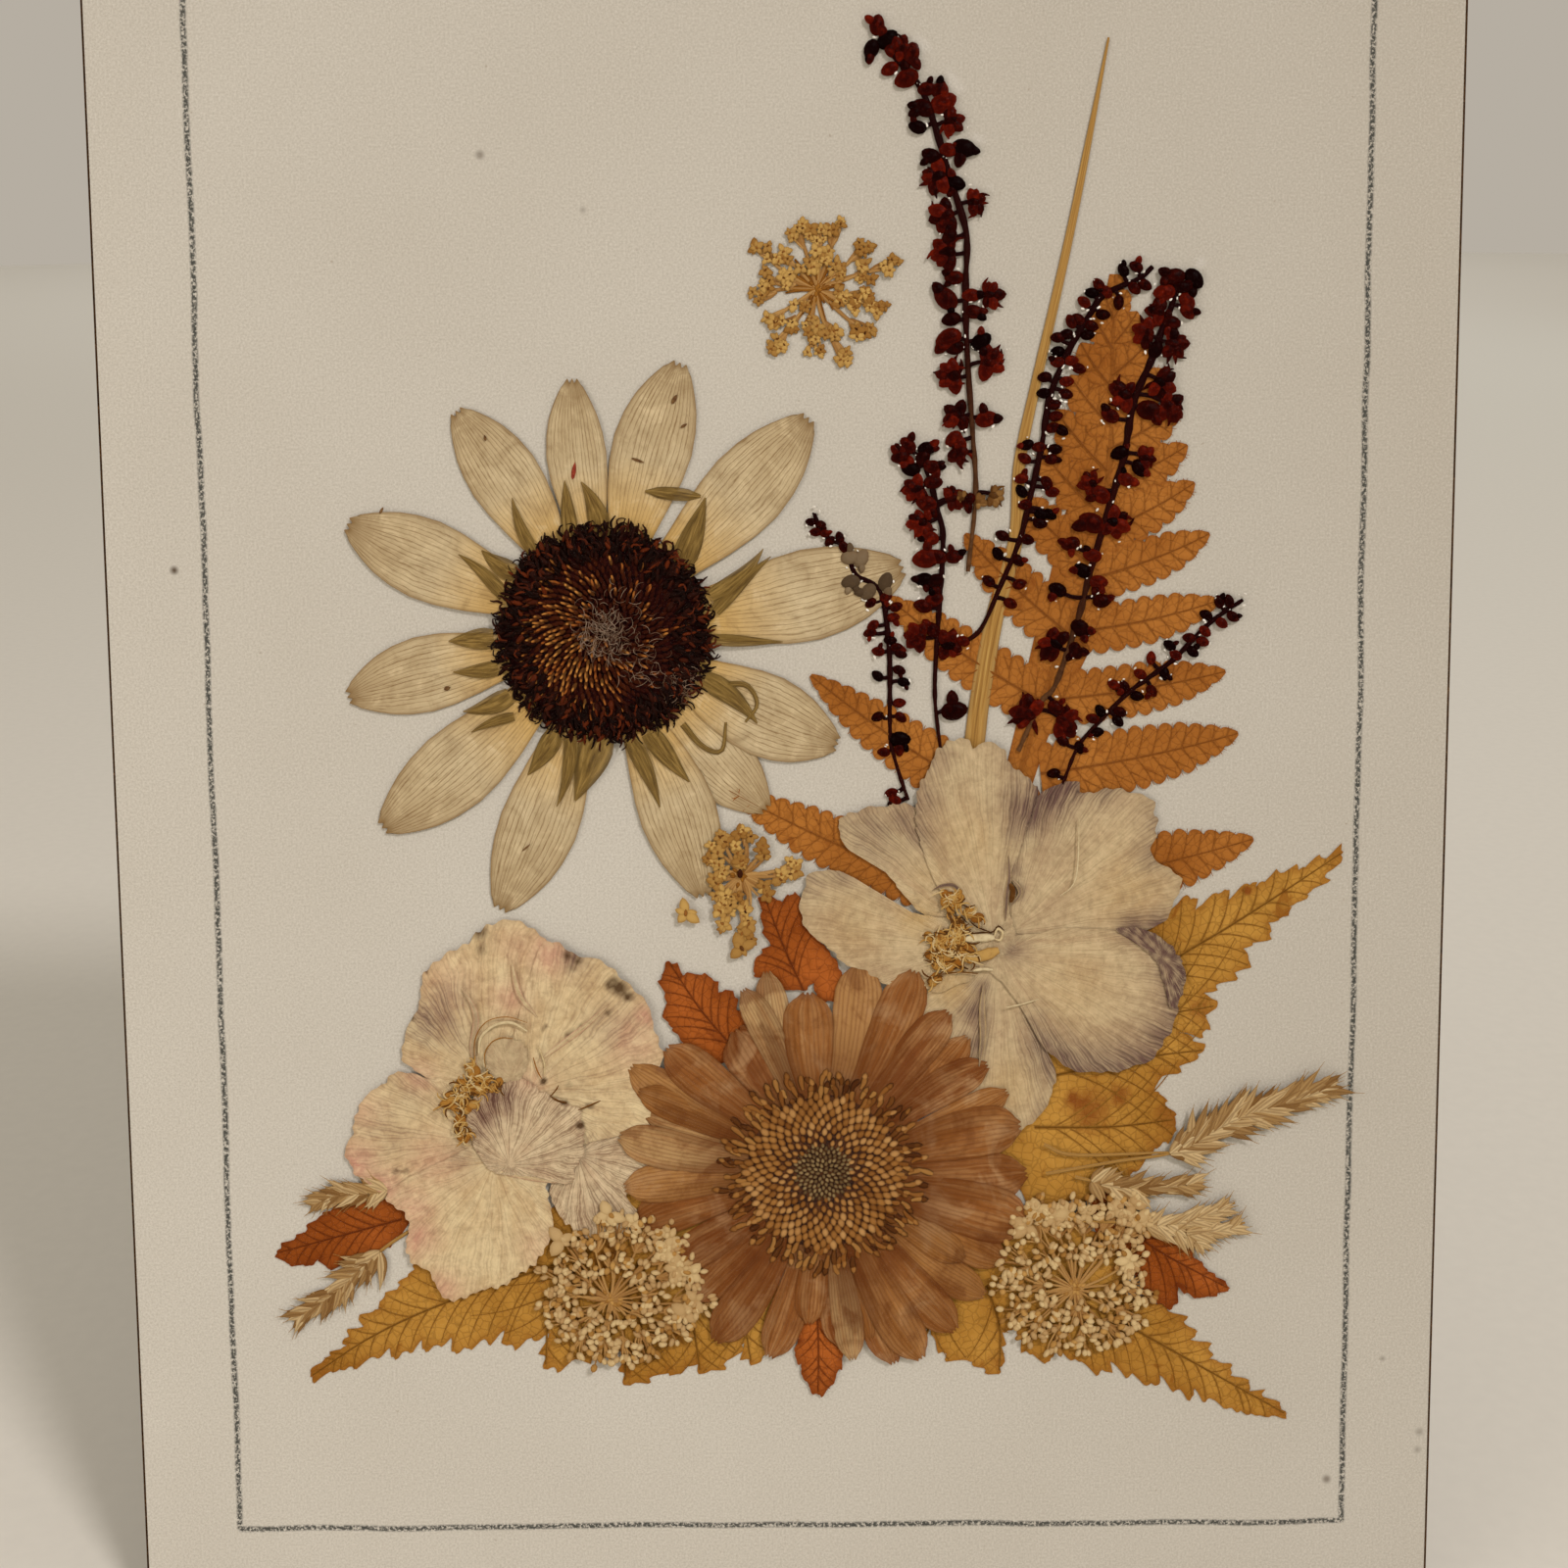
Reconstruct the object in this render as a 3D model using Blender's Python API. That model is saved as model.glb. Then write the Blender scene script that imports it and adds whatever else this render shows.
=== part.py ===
"""A pressed flower picture on a thin board: paper, pressed specimens, clear film and a fold-out strut.

The picture is modelled flat in its own sheet frame and then leaned back. In that frame x runs to the
right, z runs up from the board's bottom edge, and the flowers rise out of the paper towards -y.
Outlines are given in millimetres on the sheet, as (x from the centre line, z from the bottom edge).
"""

from math import ceil, cos, pi, radians, sin

import bmesh
import bpy
from mathutils import Vector
from mathutils.geometry import delaunay_2d_cdt

MM = 0.001
GAP = 0.3  # between pieces that touch

# Board and paper
BOARD_WIDTH = 180.0
BOARD_HEIGHT = 240.0
BOARD_THICKNESS = 3.0
BOARD_RIM = 0.5  # board showing round the paper
PAPER_THICKNESS = 0.3
BOARD_BACK = PAPER_THICKNESS + GAP + BOARD_THICKNESS  # y of the board's back, from the paper's face

# Layers of pressed pieces, counted from the paper
SHEET = 0.2
LAYER = SHEET + GAP
SPIKE_THICKNESS = 0.7
CONEFLOWER_DISC_HEIGHT = 1.2
DAISY_DISC_HEIGHT = 0.9
STAMEN_THICKNESS = 0.6

# Film
FILM_THICKNESS = 0.2
FILM_RISE = 4.2  # underside of the film over the flowers, from the paper
FILM_SLOPE = 6.0  # width of the film's slope round them
FILM_ALPHA = 0.12

# Stand
LEAN = radians(13)
SPREAD = radians(25)  # between the board's back and the open strut
HINGE_HEIGHT = 150.0
KNUCKLE_RADIUS = 1.9
LEAF_THICKNESS = 0.8
HINGE_WIDTH = 16.0
MIDDLE_KNUCKLE = 5.0
LEAF_LENGTH = 15.0
PIN_RADIUS = 0.8
PIN_HEAD_RADIUS = 1.5
PIN_HEAD_LENGTH = 0.6
PIN_SIDES = 16
CURL_TURN = 280  # degrees that a leaf rolls round the pin
CURL_STEPS = 14
STRUT_THICKNESS = 2.7
STRUT_TOP_WIDTH = 34.0
STRUT_FOOT_WIDTH = 58.0
STRUT_HORN = 4.0  # reach of the strut's top above the pin, where it stops against the board
STRUT_NOTCH_WIDTH = 19.0
NOTCH_CLEARANCE = 0.4  # between the notch's floor and the rolled leaf
AXIS_OFFSET = GAP + KNUCKLE_RADIUS  # pin axis from the board's back

# Coneflower
CONEFLOWER = (-23.3, 138.2)
CONEFLOWER_HUB = 12.0
CONEFLOWER_DISC_RADIUS = 15.0
CONEFLOWER_PETALS = (  # tip x, tip z, width
    (-42.3, 167.0, 9.5),
    (-27.0, 171.2, 7.5),
    (-12.8, 173.2, 10.5),
    (4.0, 166.0, 10.5),
    (16.2, 146.6, 11.5),
    (7.6, 123.4, 11.0),
    (-2.0, 114.5, 9.5),
    (-10.6, 102.5, 10.5),
    (-38.0, 101.5, 10.0),
    (-53.5, 112.6, 10.5),
    (-57.5, 130.0, 10.0),
    (-56.8, 152.6, 10.5),
)
# Shares of a petal's length and half width
PETAL_PROFILE = ((0.0, 0.45), (0.5, 1.0), (0.74, 0.97), (0.91, 0.6), (1.0, 0.2))
CONEFLOWER_SEPALS = (  # base x, base z, tip x, tip z, width
    (-32.3, 149.0, -35.2, 156.0, 1.8),
    (-27.3, 151.0, -28.2, 158.2, 2.2),
    (-23.0, 151.0, -26.0, 158.0, 3.0),
    (-13.5, 147.0, -9.6, 155.8, 3.4),
    (-10.5, 143.0, -2.0, 149.0, 2.6),
    (-9.5, 140.5, -1.0, 148.0, 2.0),
    (-9.0, 137.2, 0.4, 136.8, 1.8),
    (-10.5, 132.0, -2.8, 126.0, 3.4),
    (-14.0, 128.5, -7.8, 122.6, 1.6),
    (-17.0, 125.5, -12.2, 118.2, 3.0),
    (-20.0, 124.0, -16.2, 115.0, 2.6),
    (-24.0, 124.5, -27.6, 116.0, 4.6),
    (-28.0, 124.5, -30.2, 115.3, 2.0),
    (-30.0, 125.0, -33.8, 119.6, 3.0),
    (-35.0, 127.5, -41.3, 125.2, 1.6),
    (-36.5, 130.5, -42.3, 128.0, 2.8),
    (-37.0, 134.0, -43.6, 133.2, 2.2),
    (-37.5, 138.0, -44.0, 137.4, 3.0),
    (-36.5, 143.0, -42.4, 148.7, 2.0),
    (-35.0, 145.5, -39.3, 149.2, 2.8),
)
SEPAL_HUB = (10.0, 13.4)  # radii of the ring that carries the sepals
HUB_SIDES = 24
CONEFLOWER_DISC_SIDES = 32
CONEFLOWER_DISC_TUFT = 0.06  # reach of the tufts past the edge, as a share of the radius

# Brown daisy
DAISY = (5.5, 64.5)
DAISY_HUB = 12.0
DAISY_DISC_RADIUS = 12.8
DAISY_DISC_SIDES = 30
DAISY_DISC_TUFT = 0.07
DAISY_PETALS = (  # tip x, tip z, width
    (3.6, 89.2, 6.5),
    (10.3, 93.2, 6.0),
    (18.0, 92.0, 6.5),
    (22.6, 86.3, 5.5),
    (25.0, 82.8, 4.8),
    (27.8, 78.8, 5.4),
    (32.2, 70.6, 6.5),
    (33.2, 64.0, 6.8),
    (33.2, 56.5, 7.5),
    (24.4, 51.8, 4.4),
    (27.4, 46.6, 5.0),
    (23.4, 42.2, 5.5),
    (15.6, 37.6, 5.2),
    (8.2, 39.2, 5.4),
    (-2.0, 38.4, 5.4),
    (-9.2, 40.6, 5.8),
    (-14.6, 51.8, 6.0),
    (-19.5, 57.3, 6.0),
    (-21.6, 62.6, 5.6),
    (-22.3, 69.3, 5.6),
    (-18.7, 73.0, 4.6),
    (-20.5, 78.6, 5.0),
    (-15.8, 81.8, 5.4),
    (-6.5, 84.5, 7.0),
    (-1.6, 92.0, 4.6),
)
DAISY_PROFILE = ((0.0, 0.45), (0.5, 1.0), (0.8, 0.95), (0.95, 0.55), (1.0, 0.16))

# Delphiniums: each petal's outline, and its layer
CREAM_PETALS = {
    "top": (3, ((29.5, 99), (25.5, 102), (20.5, 105), (18.4, 111), (18.6, 116.5), (21.5, 122.5),
                (25, 123.8), (30, 122.6), (33, 118.5), (34.6, 116.4), (32.5, 113), (30.6, 107))),
    "upper_right": (2, ((31, 100), (31.2, 108), (32, 114), (37, 117.6), (41, 117), (50.2, 115),
                        (50.6, 107.6), (53.9, 104.8), (51.5, 98.8), (44, 96.5))),
    "right": (3, ((31.5, 94), (37, 97.2), (45.2, 97.3), (50, 97), (53.4, 94), (54.4, 91), (53.8, 85),
                  (51.4, 81), (45, 78.2), (40, 78.5), (35.8, 82), (32, 88.5))),
    "bottom": (2, ((28.5, 91.5), (32, 88), (36.5, 80), (37, 76), (33.5, 70.4), (26, 71), (22.5, 74),
                   (25, 80), (26.5, 86))),
    "left": (3, ((21, 93.5), (17, 90), (12.5, 91), (7, 95), (3.2, 98.8), (3, 104.5), (8, 106.6),
                 (14, 105.2), (20.5, 101.5))),
    "upper_left": (2, ((20.5, 101.5), (13, 106), (9.2, 108.4), (7.8, 112.8), (12, 114.5),
                       (18, 115), (22, 107))),
}
CREAM_STAMENS = (  # x, z, radius
    (22.8, 101.5, 2.2), (24.5, 99.3, 1.6), (24.0, 97.0, 2.0), (21.6, 95.3, 2.3), (23.4, 93.8, 1.8),
    (26.0, 94.6, 1.6), (28.2, 95.4, 1.5), (26.5, 97.2, 1.3), (29.3, 97.2, 0.9),
)
ANTHER_SIDES = 7
PINK_PETALS = {
    "top": (2, ((-41, 79.5), (-51.4, 79.8), (-51.2, 85.5), (-48.6, 92), (-45.6, 95), (-39.8, 99.2),
                (-35.5, 99.2), (-31, 96.2), (-32, 86))),
    "upper_right": (3, ((-35, 77.5), (-35.5, 84), (-33, 93), (-28.6, 95), (-23, 93), (-19.5, 90),
                        (-17.2, 84), (-16.5, 79), (-17.8, 71), (-27, 69.6), (-31, 74.5))),
    "lower_right": (2, ((-29, 68.5), (-22, 69.8), (-16.5, 66), (-18.5, 59.5), (-22, 55.4),
                        (-27, 55.3), (-31.6, 60.5))),
    "bottom": (3, ((-41, 64.6), (-34, 64), (-32, 59.5), (-33, 53.6), (-38.5, 49), (-45.6, 46.8),
                   (-48.2, 49.6), (-50.8, 54), (-52.2, 59), (-49, 63))),
    "left": (2, ((-43, 70), (-44.5, 77.5), (-52, 78.6), (-57, 75.4), (-59.2, 70), (-60.3, 66.8),
                 (-57.5, 63), (-54.5, 61.6), (-46, 64.5))),
    "folded": (4, ((-40, 65), (-42.8, 70), (-41.2, 76), (-36, 77.6), (-31.5, 75), (-28, 73),
                   (-27.2, 68.5), (-29.6, 63.4))),
}
PINK_STAMENS = (
    (-45.3, 75.2, 1.2), (-43.6, 76.6, 1.5), (-42.0, 78.6, 1.5), (-43.6, 74.4, 1.5),
    (-43.4, 72.2, 1.3), (-44.0, 70.2, 1.4),
)

# Fern
FERN_STALK = ((44.3, 183.5), (44.2, 170), (43, 152), (40, 134), (36, 118), (31, 100))
FERN_STALK_WIDTHS = (0.8, 0.95, 1.1, 1.25, 1.4, 1.55)
FERN_PINNAE = (  # base x, base z, tip x, tip z, width, lobes on a side
    (31, 104, 63.8, 109.8, 10.0, 7),
    (36, 119, 61.5, 124.0, 9.5, 6),
    (38, 130, 59.7, 132.2, 8.0, 5),
    (40, 139, 58.7, 141.8, 7.5, 4),
    (42, 145, 57.3, 150.6, 7.5, 4),
    (43, 151, 55.2, 157.4, 7.5, 3),
    (43, 157, 54.2, 162.0, 7.5, 3),
    (44, 162, 53.2, 167.0, 8.5, 2),
    (44, 168, 49.5, 172.0, 7.5, 2),
    (31, 101, -6.8, 116.2, 9.5, 7),
    (36, 112, 4.3, 132.2, 9.0, 7),
    (39, 127, 14.2, 142.2, 9.0, 6),
    (41, 136, 25.0, 150.0, 8.5, 4),
    (43, 146, 30.5, 152.0, 7.5, 3),
    (43, 153, 34.0, 161.0, 7.5, 3),
    (44, 161, 37.5, 167.0, 7.0, 2),
)
FERN_TOP = ((42.5, 160), (37, 163), (40, 169), (40, 176), (42.5, 181), (44, 185), (45.3, 184.6),
            (46.4, 180), (48.5, 176), (49.5, 171), (46, 160))

# Leaves: layer and outline
LEAVES = {
    "maple_leaf_left": (0, (
        (-47, 54), (-52, 49.8), (-53.5, 48), (-56, 46.2), (-55.8, 45.2), (-59, 43.7), (-58.3, 42.7),
        (-61.3, 40.6), (-60.7, 40), (-63, 38.6), (-66, 35.6), (-61.8, 36.6), (-57.3, 38.3),
        (-54.8, 39.6), (-54.3, 38.3), (-50.3, 40.7), (-50, 39.4), (-46.2, 41), (-45.8, 39),
        (-42, 40.6), (-38.8, 42), (-38.6, 39.8), (-35.5, 40.8), (-32.6, 41.6), (-33.3, 36.4),
        (-29, 37.8), (-24.9, 38.3), (-21.7, 39.7), (-22.3, 34), (-18.8, 35), (-16.3, 36.6),
        (-16, 35.3), (-12, 37.8), (-11.8, 35.5), (-8.3, 37.1), (-5.6, 40), (-4.7, 36.7), (-2.6, 38.4),
        (0, 46), (-6, 57), (-20, 61), (-34, 59))),
    "maple_leaf_right": (0, (
        (46, 97), (50, 97.5), (53, 100.5), (55.9, 101.9), (56.1, 100.2), (60.4, 102.9), (60.6, 101.6),
        (64.2, 104), (64.2, 103.2), (67.6, 105.2), (70, 105.6), (76, 108), (73.6, 104.8),
        (71.3, 102.3), (68.9, 100.6), (68.8, 99.8), (66, 98.4), (66.5, 97.2), (62.7, 94.9),
        (63.6, 93), (57.4, 88.8), (59.3, 87), (57.7, 85.7), (57.6, 83.5), (54, 83.4), (57.6, 81),
        (52, 77.3), (50, 75.4), (51.6, 74.8), (52.4, 73.2), (53.7, 71.6), (53.7, 69.4), (51, 67.2),
        (45, 61), (35, 59.4), (28, 66), (34, 80), (40, 90))),
    "maple_leaf_lower_right": (0, (
        (47, 46.6), (50, 45.4), (53, 44.2), (55.5, 42.2), (57, 40.8), (56.3, 40), (59.4, 38),
        (59, 37.2), (61.9, 35.8), (61.9, 34.8), (64.6, 33.4), (64.6, 32.5), (66.4, 31.8),
        (69.8, 29.2), (66, 29), (63.4, 29.7), (59.8, 31.2), (56.9, 33), (56.6, 31.7), (52.1, 34.9),
        (51.6, 33.4), (45.2, 36.9), (45, 35.4), (40.3, 37.3), (37.3, 38.9), (36.8, 37), (33.5, 38.5),
        (32.2, 42), (30.2, 41.2), (29.8, 35.2), (26, 37), (22, 38.4), (20.2, 41.8), (19, 42.4),
        (18.3, 37.5), (16.6, 38.6), (16, 44), (22, 52), (30, 57.5), (40, 57.5), (46, 52))),
    "red_leaf_left": (0, (
        (-70, 53.5), (-66, 56.2), (-63.5, 58.7), (-60, 60.3), (-54.8, 60.8), (-52.2, 59),
        (-51.6, 57.3), (-55, 54), (-57.5, 52.5), (-63, 51), (-64, 52.6), (-65.5, 51.5), (-68.6, 51.8))),
    "red_leaf_centre": (1, (
        (-15.3, 93.8), (-16.3, 91.5), (-15.6, 88), (-16.2, 86.5), (-14.9, 84.5), (-11, 80), (-6, 80),
        (-4.4, 85.5), (-6.2, 87), (-6.6, 89.6), (-8.6, 89.4), (-9.4, 91.3), (-11.3, 91.9),
        (-13.4, 91.8))),
    "lobed_leaf_centre": (1, (
        (-2.5, 102.8), (0.2, 101.8), (1.4, 102.8), (2.8, 102.2), (2.9, 98.5), (6.2, 95.2),
        (8.3, 91.5), (8.6, 88.3), (5, 88.2), (4.4, 90.6), (1.6, 89.6), (0, 90.2), (-0.6, 91.4),
        (-2.4, 91.3), (-3.8, 92.2), (-3.6, 93.8), (-1.4, 95.8), (-2.6, 99))),
    "lobed_leaf_bottom": (1, (
        (1.8, 40), (1.4, 38.2), (2.3, 37), (2.4, 35.3), (4.6, 32.5), (6.2, 33.6), (7.4, 36),
        (8.1, 38.2), (6.5, 45), (3, 45))),
    "red_leaf_right": (1, (
        (42.4, 57), (42.8, 60), (46.6, 61.4), (46.4, 57.4), (50, 56.6), (52.5, 56.4), (55.4, 55),
        (56.5, 51.8), (58.5, 49.8), (61.6, 47.4), (58.5, 46.2), (57, 46), (54.5, 47.6), (53.6, 44.4),
        (51, 46), (47, 52))),
}

# Umbels: centre, reach, rays and layer
UMBELS = {
    "umbel_top": (5.0, 183.0, 9.4, 13, 0),
    "umbel_centre": (-5.5, 105.4, 7.6, 11, 3),
    "umbel_lower_left": (-23.8, 46.5, 9.0, 13, 3),
    "umbel_lower_right": (40.0, 47.5, 10.0, 13, 2),
}
RAY_WIDTH = 0.7
FLORET_RADIUS = 1.7
FLORET_SIDES = 6
UMBEL_HUB_RADIUS = 1.6
RAY_SHARES = (0.88, 0.66)  # lengths of the longer and shorter rays, of the reach

# Seed spikes: layer, thickness, seed radius, spacing and route from the tip
SPIKES = (
    (2, SPIKE_THICKNESS, 1.3, 2.7, ((12.5, 216.5), (17.5, 210.5), (21, 202.5), (24.2, 191),
                                     (24.9, 177), (26, 162), (25.4, 146))),
    (2, SPIKE_THICKNESS, 1.25, 2.8, ((17, 161.8), (20.8, 156.5), (22, 149), (21.3, 137), (20.8, 128),
                                    (21.1, 124.5))),
    (1, SHEET, 1.0, 2.8, ((5, 153.8), (9, 148.8), (13.6, 142.5), (14.6, 132), (15, 124),
                          (16.6, 117))),
    (2, SPIKE_THICKNESS, 1.1, 2.7, ((49.2, 185), (43, 182), (38.8, 176), (35.8, 167), (34.2, 157),
                                    (30, 146.5), (27, 138))),
    (2, SPIKE_THICKNESS, 1.45, 3.2, ((53, 184), (50.2, 176), (46.6, 165), (43, 152), (38.6, 139),
                                    (35, 129), (31.6, 123))),
    (2, SPIKE_THICKNESS, 0.95, 2.4, ((61.3, 142.2), (55, 136.2), (47, 129.6), (40.6, 124.2),
                                     (38.4, 119.6))),
)
SPIKE_STEM_WIDTH = 0.9
SEED_SIDES = 6
SEED_INSET = 0.4  # share of a seed's radius that its stem hides
SEEDED_SHARE = 0.86  # of a spike's length
SEED_SIZES = (1.0, 0.8, 1.15, 0.9, 1.05)

# Grass
BLADE_ROUTE = ((43.3, 214.5), (40.2, 197), (36.5, 180), (33.5, 165), (31.2, 150), (28.9, 139),
               (26.1, 123))
BLADE_WIDTHS = (0.5, 0.8, 1.2, 1.6, 2.1, 2.5, 2.3)
GRASS_HEADS = {  # layer, stem, tips and lance width
    "grass_head_right_upper": (3, ((36, 63.6), (46, 65.4), (55, 67.6)), 3.0, (
        (77, 75.4), (76, 78), (72, 78.6), (69, 77), (64.3, 75.8), (61, 74.6), (73.5, 71), (67, 69.4))),
    "grass_head_right_middle": (3, ((40, 63.2), (47, 61.6), (54, 61.8)), 3.0, (
        (60.4, 63.6), (60.4, 60.4), (52, 64.4))),
    "grass_head_right_lower": (3, ((40, 57.2), (46, 56.9), (53, 56)), 3.0, (
        (64.4, 60.6), (65, 57), (59.8, 52))),
    "grass_head_left_upper": (1, ((-52, 63), (-55.5, 62)), 2.6, (
        (-67, 58.6), (-65.4, 61.4), (-62.4, 63.6))),
    "grass_head_left_lower": (1, ((-50, 57), (-54, 53.6), (-57, 51.6)), 3.0, (
        (-70.4, 42.2), (-69.6, 45.4), (-63.6, 43.8), (-57, 47.4), (-53, 49.4))),
}
GRASS_STEM_WIDTH = 0.7

# Outline of the flowers' plateau under the film
PLATEAU = ((-74, 37), (-40, 31), (0, 28), (40, 29), (72, 24), (80, 50), (80, 100), (72, 130), (62, 165),
           (58, 190), (48, 219), (10, 221), (-8, 196), (-20, 178), (-46, 173), (-62, 156), (-63, 125),
           (-58, 105), (-56, 92), (-66, 72), (-77, 56))

COLOURS = {  # base colour, roughness, metallic
    "hardboard": ((0.045, 0.022, 0.010), 0.7, 0.0),
    "paper": ((0.58, 0.51, 0.40), 0.9, 0.0),
    "film": ((0.9, 0.9, 0.88), 0.12, 0.0),
    "steel": ((0.5, 0.48, 0.45), 0.35, 1.0),
    "coneflower": ((0.60, 0.48, 0.27), 0.75, 0.0),
    "sepal": ((0.20, 0.16, 0.07), 0.8, 0.0),
    "dark_disc": ((0.035, 0.010, 0.008), 0.8, 0.0),
    "daisy": ((0.25, 0.10, 0.04), 0.8, 0.0),
    "daisy_disc": ((0.30, 0.15, 0.05), 0.8, 0.0),
    "cream": ((0.56, 0.46, 0.29), 0.8, 0.0),
    "pink": ((0.60, 0.45, 0.32), 0.8, 0.0),
    "stamen": ((0.42, 0.20, 0.05), 0.8, 0.0),
    "fern": ((0.38, 0.13, 0.03), 0.8, 0.0),
    "ochre_leaf": ((0.46, 0.23, 0.04), 0.8, 0.0),
    "red_leaf": ((0.32, 0.07, 0.015), 0.8, 0.0),
    "umbel": ((0.50, 0.35, 0.14), 0.8, 0.0),
    "seed": ((0.05, 0.008, 0.006), 0.5, 0.0),
    "grass": ((0.46, 0.32, 0.13), 0.8, 0.0),
}


def clear_scene():
    for old in list(bpy.data.objects):
        bpy.data.objects.remove(old)


def material(name):
    found = bpy.data.materials.get(name)
    if found:
        return found
    colour, roughness, metallic = COLOURS[name]
    made = bpy.data.materials.new(name)
    made.use_nodes = True
    shader = made.node_tree.nodes["Principled BSDF"]
    shader.inputs["Base Color"].default_value = (*colour, 1)
    shader.inputs["Roughness"].default_value = roughness
    shader.inputs["Metallic"].default_value = metallic
    if name == "film":
        shader.inputs["Alpha"].default_value = FILM_ALPHA
    return made


def add_object(name, bm, finish, parent):
    mesh = bpy.data.meshes.new(name)
    bm.to_mesh(mesh)
    bm.free()
    mesh.materials.append(material(finish))
    obj = bpy.data.objects.new(name, mesh)
    bpy.context.collection.objects.link(obj)
    obj.parent = parent
    return obj


def add_empty(name, parent=None):
    empty = bpy.data.objects.new(name, None)
    bpy.context.collection.objects.link(empty)
    empty.parent = parent
    return empty


def shade_round(obj):
    obj.data.shade_smooth()
    obj.data.set_sharp_from_angle(angle=radians(35))


# Flat outlines, in millimetres


def smooth(points, steps=2):
    """A closed curve through the points, with this many spans between each two."""
    curve = []
    count = len(points)
    for i in range(count):
        a, b, c, d = (Vector(points[(i + k) % count]) for k in (-1, 0, 1, 2))
        for step in range(steps):
            t = step / steps
            point = b * 2 + (c - a) * t + (a * 2 - b * 5 + c * 4 - d) * t**2
            curve.append((point + (b * 3 - a - c * 3 + d) * t**3) / 2)
    return curve


def grown_outline(points, distance):
    """A counter-clockwise outline moved outwards."""
    grown = []
    for before, point, after in zip(points[-1:] + points, points, points[1:] + points[:1]):
        ahead = (after - before).normalized()
        grown.append(point + Vector((ahead.y, -ahead.x)) * distance)
    return grown


def disc(centre, radius, sides):
    turns = (2 * pi * i / sides for i in range(sides))
    return [Vector((centre[0] + radius * cos(a), centre[1] + radius * sin(a))) for a in turns]


def along(base, tip, profile, width):
    """An outline symmetrical about the line from base to tip, from shares of length and half width."""
    base, tip = Vector(base), Vector(tip)
    axis = tip - base
    side = Vector((-axis.y, axis.x)).normalized() * width / 2
    left = [base + axis * t + side * w for t, w in profile]
    right = [base + axis * t - side * w for t, w in reversed(profile)]
    return right + left


def petal(centre, tip, width, profile, start):
    """A petal whose base is hidden under the flower's disc, this far from the centre."""
    centre, tip = Vector(centre), Vector(tip)
    base = centre + (tip - centre).normalized() * start
    return along(base, tip, profile, width)


def lance(base, tip, width):
    return along(base, tip, ((0.0, 0.5), (0.45, 1.0), (1.0, 0.08)), width)


def pinna(base, tip, width, lobes):
    """A fern pinna with round lobes along both edges."""
    profile = []
    for lobe in range(lobes):
        for share, depth in ((0.0, 0.72), (0.55, 1.0)):
            t = (lobe + share) / lobes
            taper = min(1.0, 1.6 * (1.0 - t) ** 0.7)
            profile.append((t, depth * taper))
    profile.append((1.0, 0.12))
    return along(base, tip, profile, width)


def ribbon(route, widths):
    """A strip along a route, with a width at each point."""
    route = [Vector(point) for point in route]
    left, right = [], []
    for i, point in enumerate(route):
        ahead = route[min(i + 1, len(route) - 1)] - route[max(i - 1, 0)]
        side = Vector((-ahead.y, ahead.x)).normalized() * widths[i] / 2
        left.append(point + side)
        right.append(point - side)
    return right + left[::-1]


def walk(route, spacing, share):
    """Points this far apart along the first share of a route, each with the direction there."""
    route = [Vector(point) for point in route]
    total = sum((b - a).length for a, b in zip(route, route[1:]))
    for i in range(ceil(total * share / spacing)):
        left = i * spacing
        for a, b in zip(route, route[1:]):
            if left <= (b - a).length:
                break
            left -= (b - a).length
        heading = (b - a).normalized()
        yield a + heading * left, heading


def spike(route, seed_radius, spacing):
    """A stem with seeds sitting on alternate sides."""
    outlines = [ribbon(route, [SPIKE_STEM_WIDTH] * len(route))]
    for i, (point, heading) in enumerate(walk(route, spacing, SEEDED_SHARE)):
        radius = seed_radius * SEED_SIZES[i % len(SEED_SIZES)]
        side = Vector((-heading.y, heading.x)) * (1 if i % 2 else -1)
        reach = SPIKE_STEM_WIDTH / 2 + radius * (1 - SEED_INSET)
        outlines.append(disc(point + side * reach, radius, SEED_SIDES))
    return outlines


def umbel(x, z, reach, rays):
    """Rays from one point, each ending in a floret, with every other ray shorter."""
    outlines = [disc((x, z), UMBEL_HUB_RADIUS, FLORET_SIDES)]
    for i in range(rays):
        angle = 2 * pi * i / rays
        length = reach * RAY_SHARES[i % 2]
        end = (x + length * cos(angle), z + length * sin(angle))
        outlines.append(ribbon(((x, z), end), (RAY_WIDTH, RAY_WIDTH)))
        outlines.append(disc(end, FLORET_RADIUS, FLORET_SIDES))
    return outlines


def grass_head(stem, width, tips):
    """A stem that opens into lance-shaped spikelets."""
    outlines = [ribbon(stem, [GRASS_STEM_WIDTH] * len(stem))]
    start = Vector(stem[-1])
    back = (Vector(stem[-2]) - start).normalized()
    outlines += [lance(start + back, tip, width) for tip in tips]
    return outlines


# Solids on the sheet


def union(outlines):
    """The triangles that cover overlapping outlines, as points and faces."""
    points, loops = [], []
    for outline in outlines:
        outline = [Vector(point) for point in outline]
        area = sum(a.cross(b) for a, b in zip(outline, outline[1:] + outline[:1]))
        loops.append(list(range(len(points), len(points) + len(outline))))
        points += outline if area > 0 else outline[::-1]
    points, _, faces, _, _, sources = delaunay_2d_cdt(points, [], loops, 1, 1e-4)
    return points, [face for face, source in zip(faces, sources) if source]


def sheet_point(flat, rise):
    """A point of the sheet, this far out of the paper, in metres."""
    return Vector((flat[0], -rise, flat[1])) * MM


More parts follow.
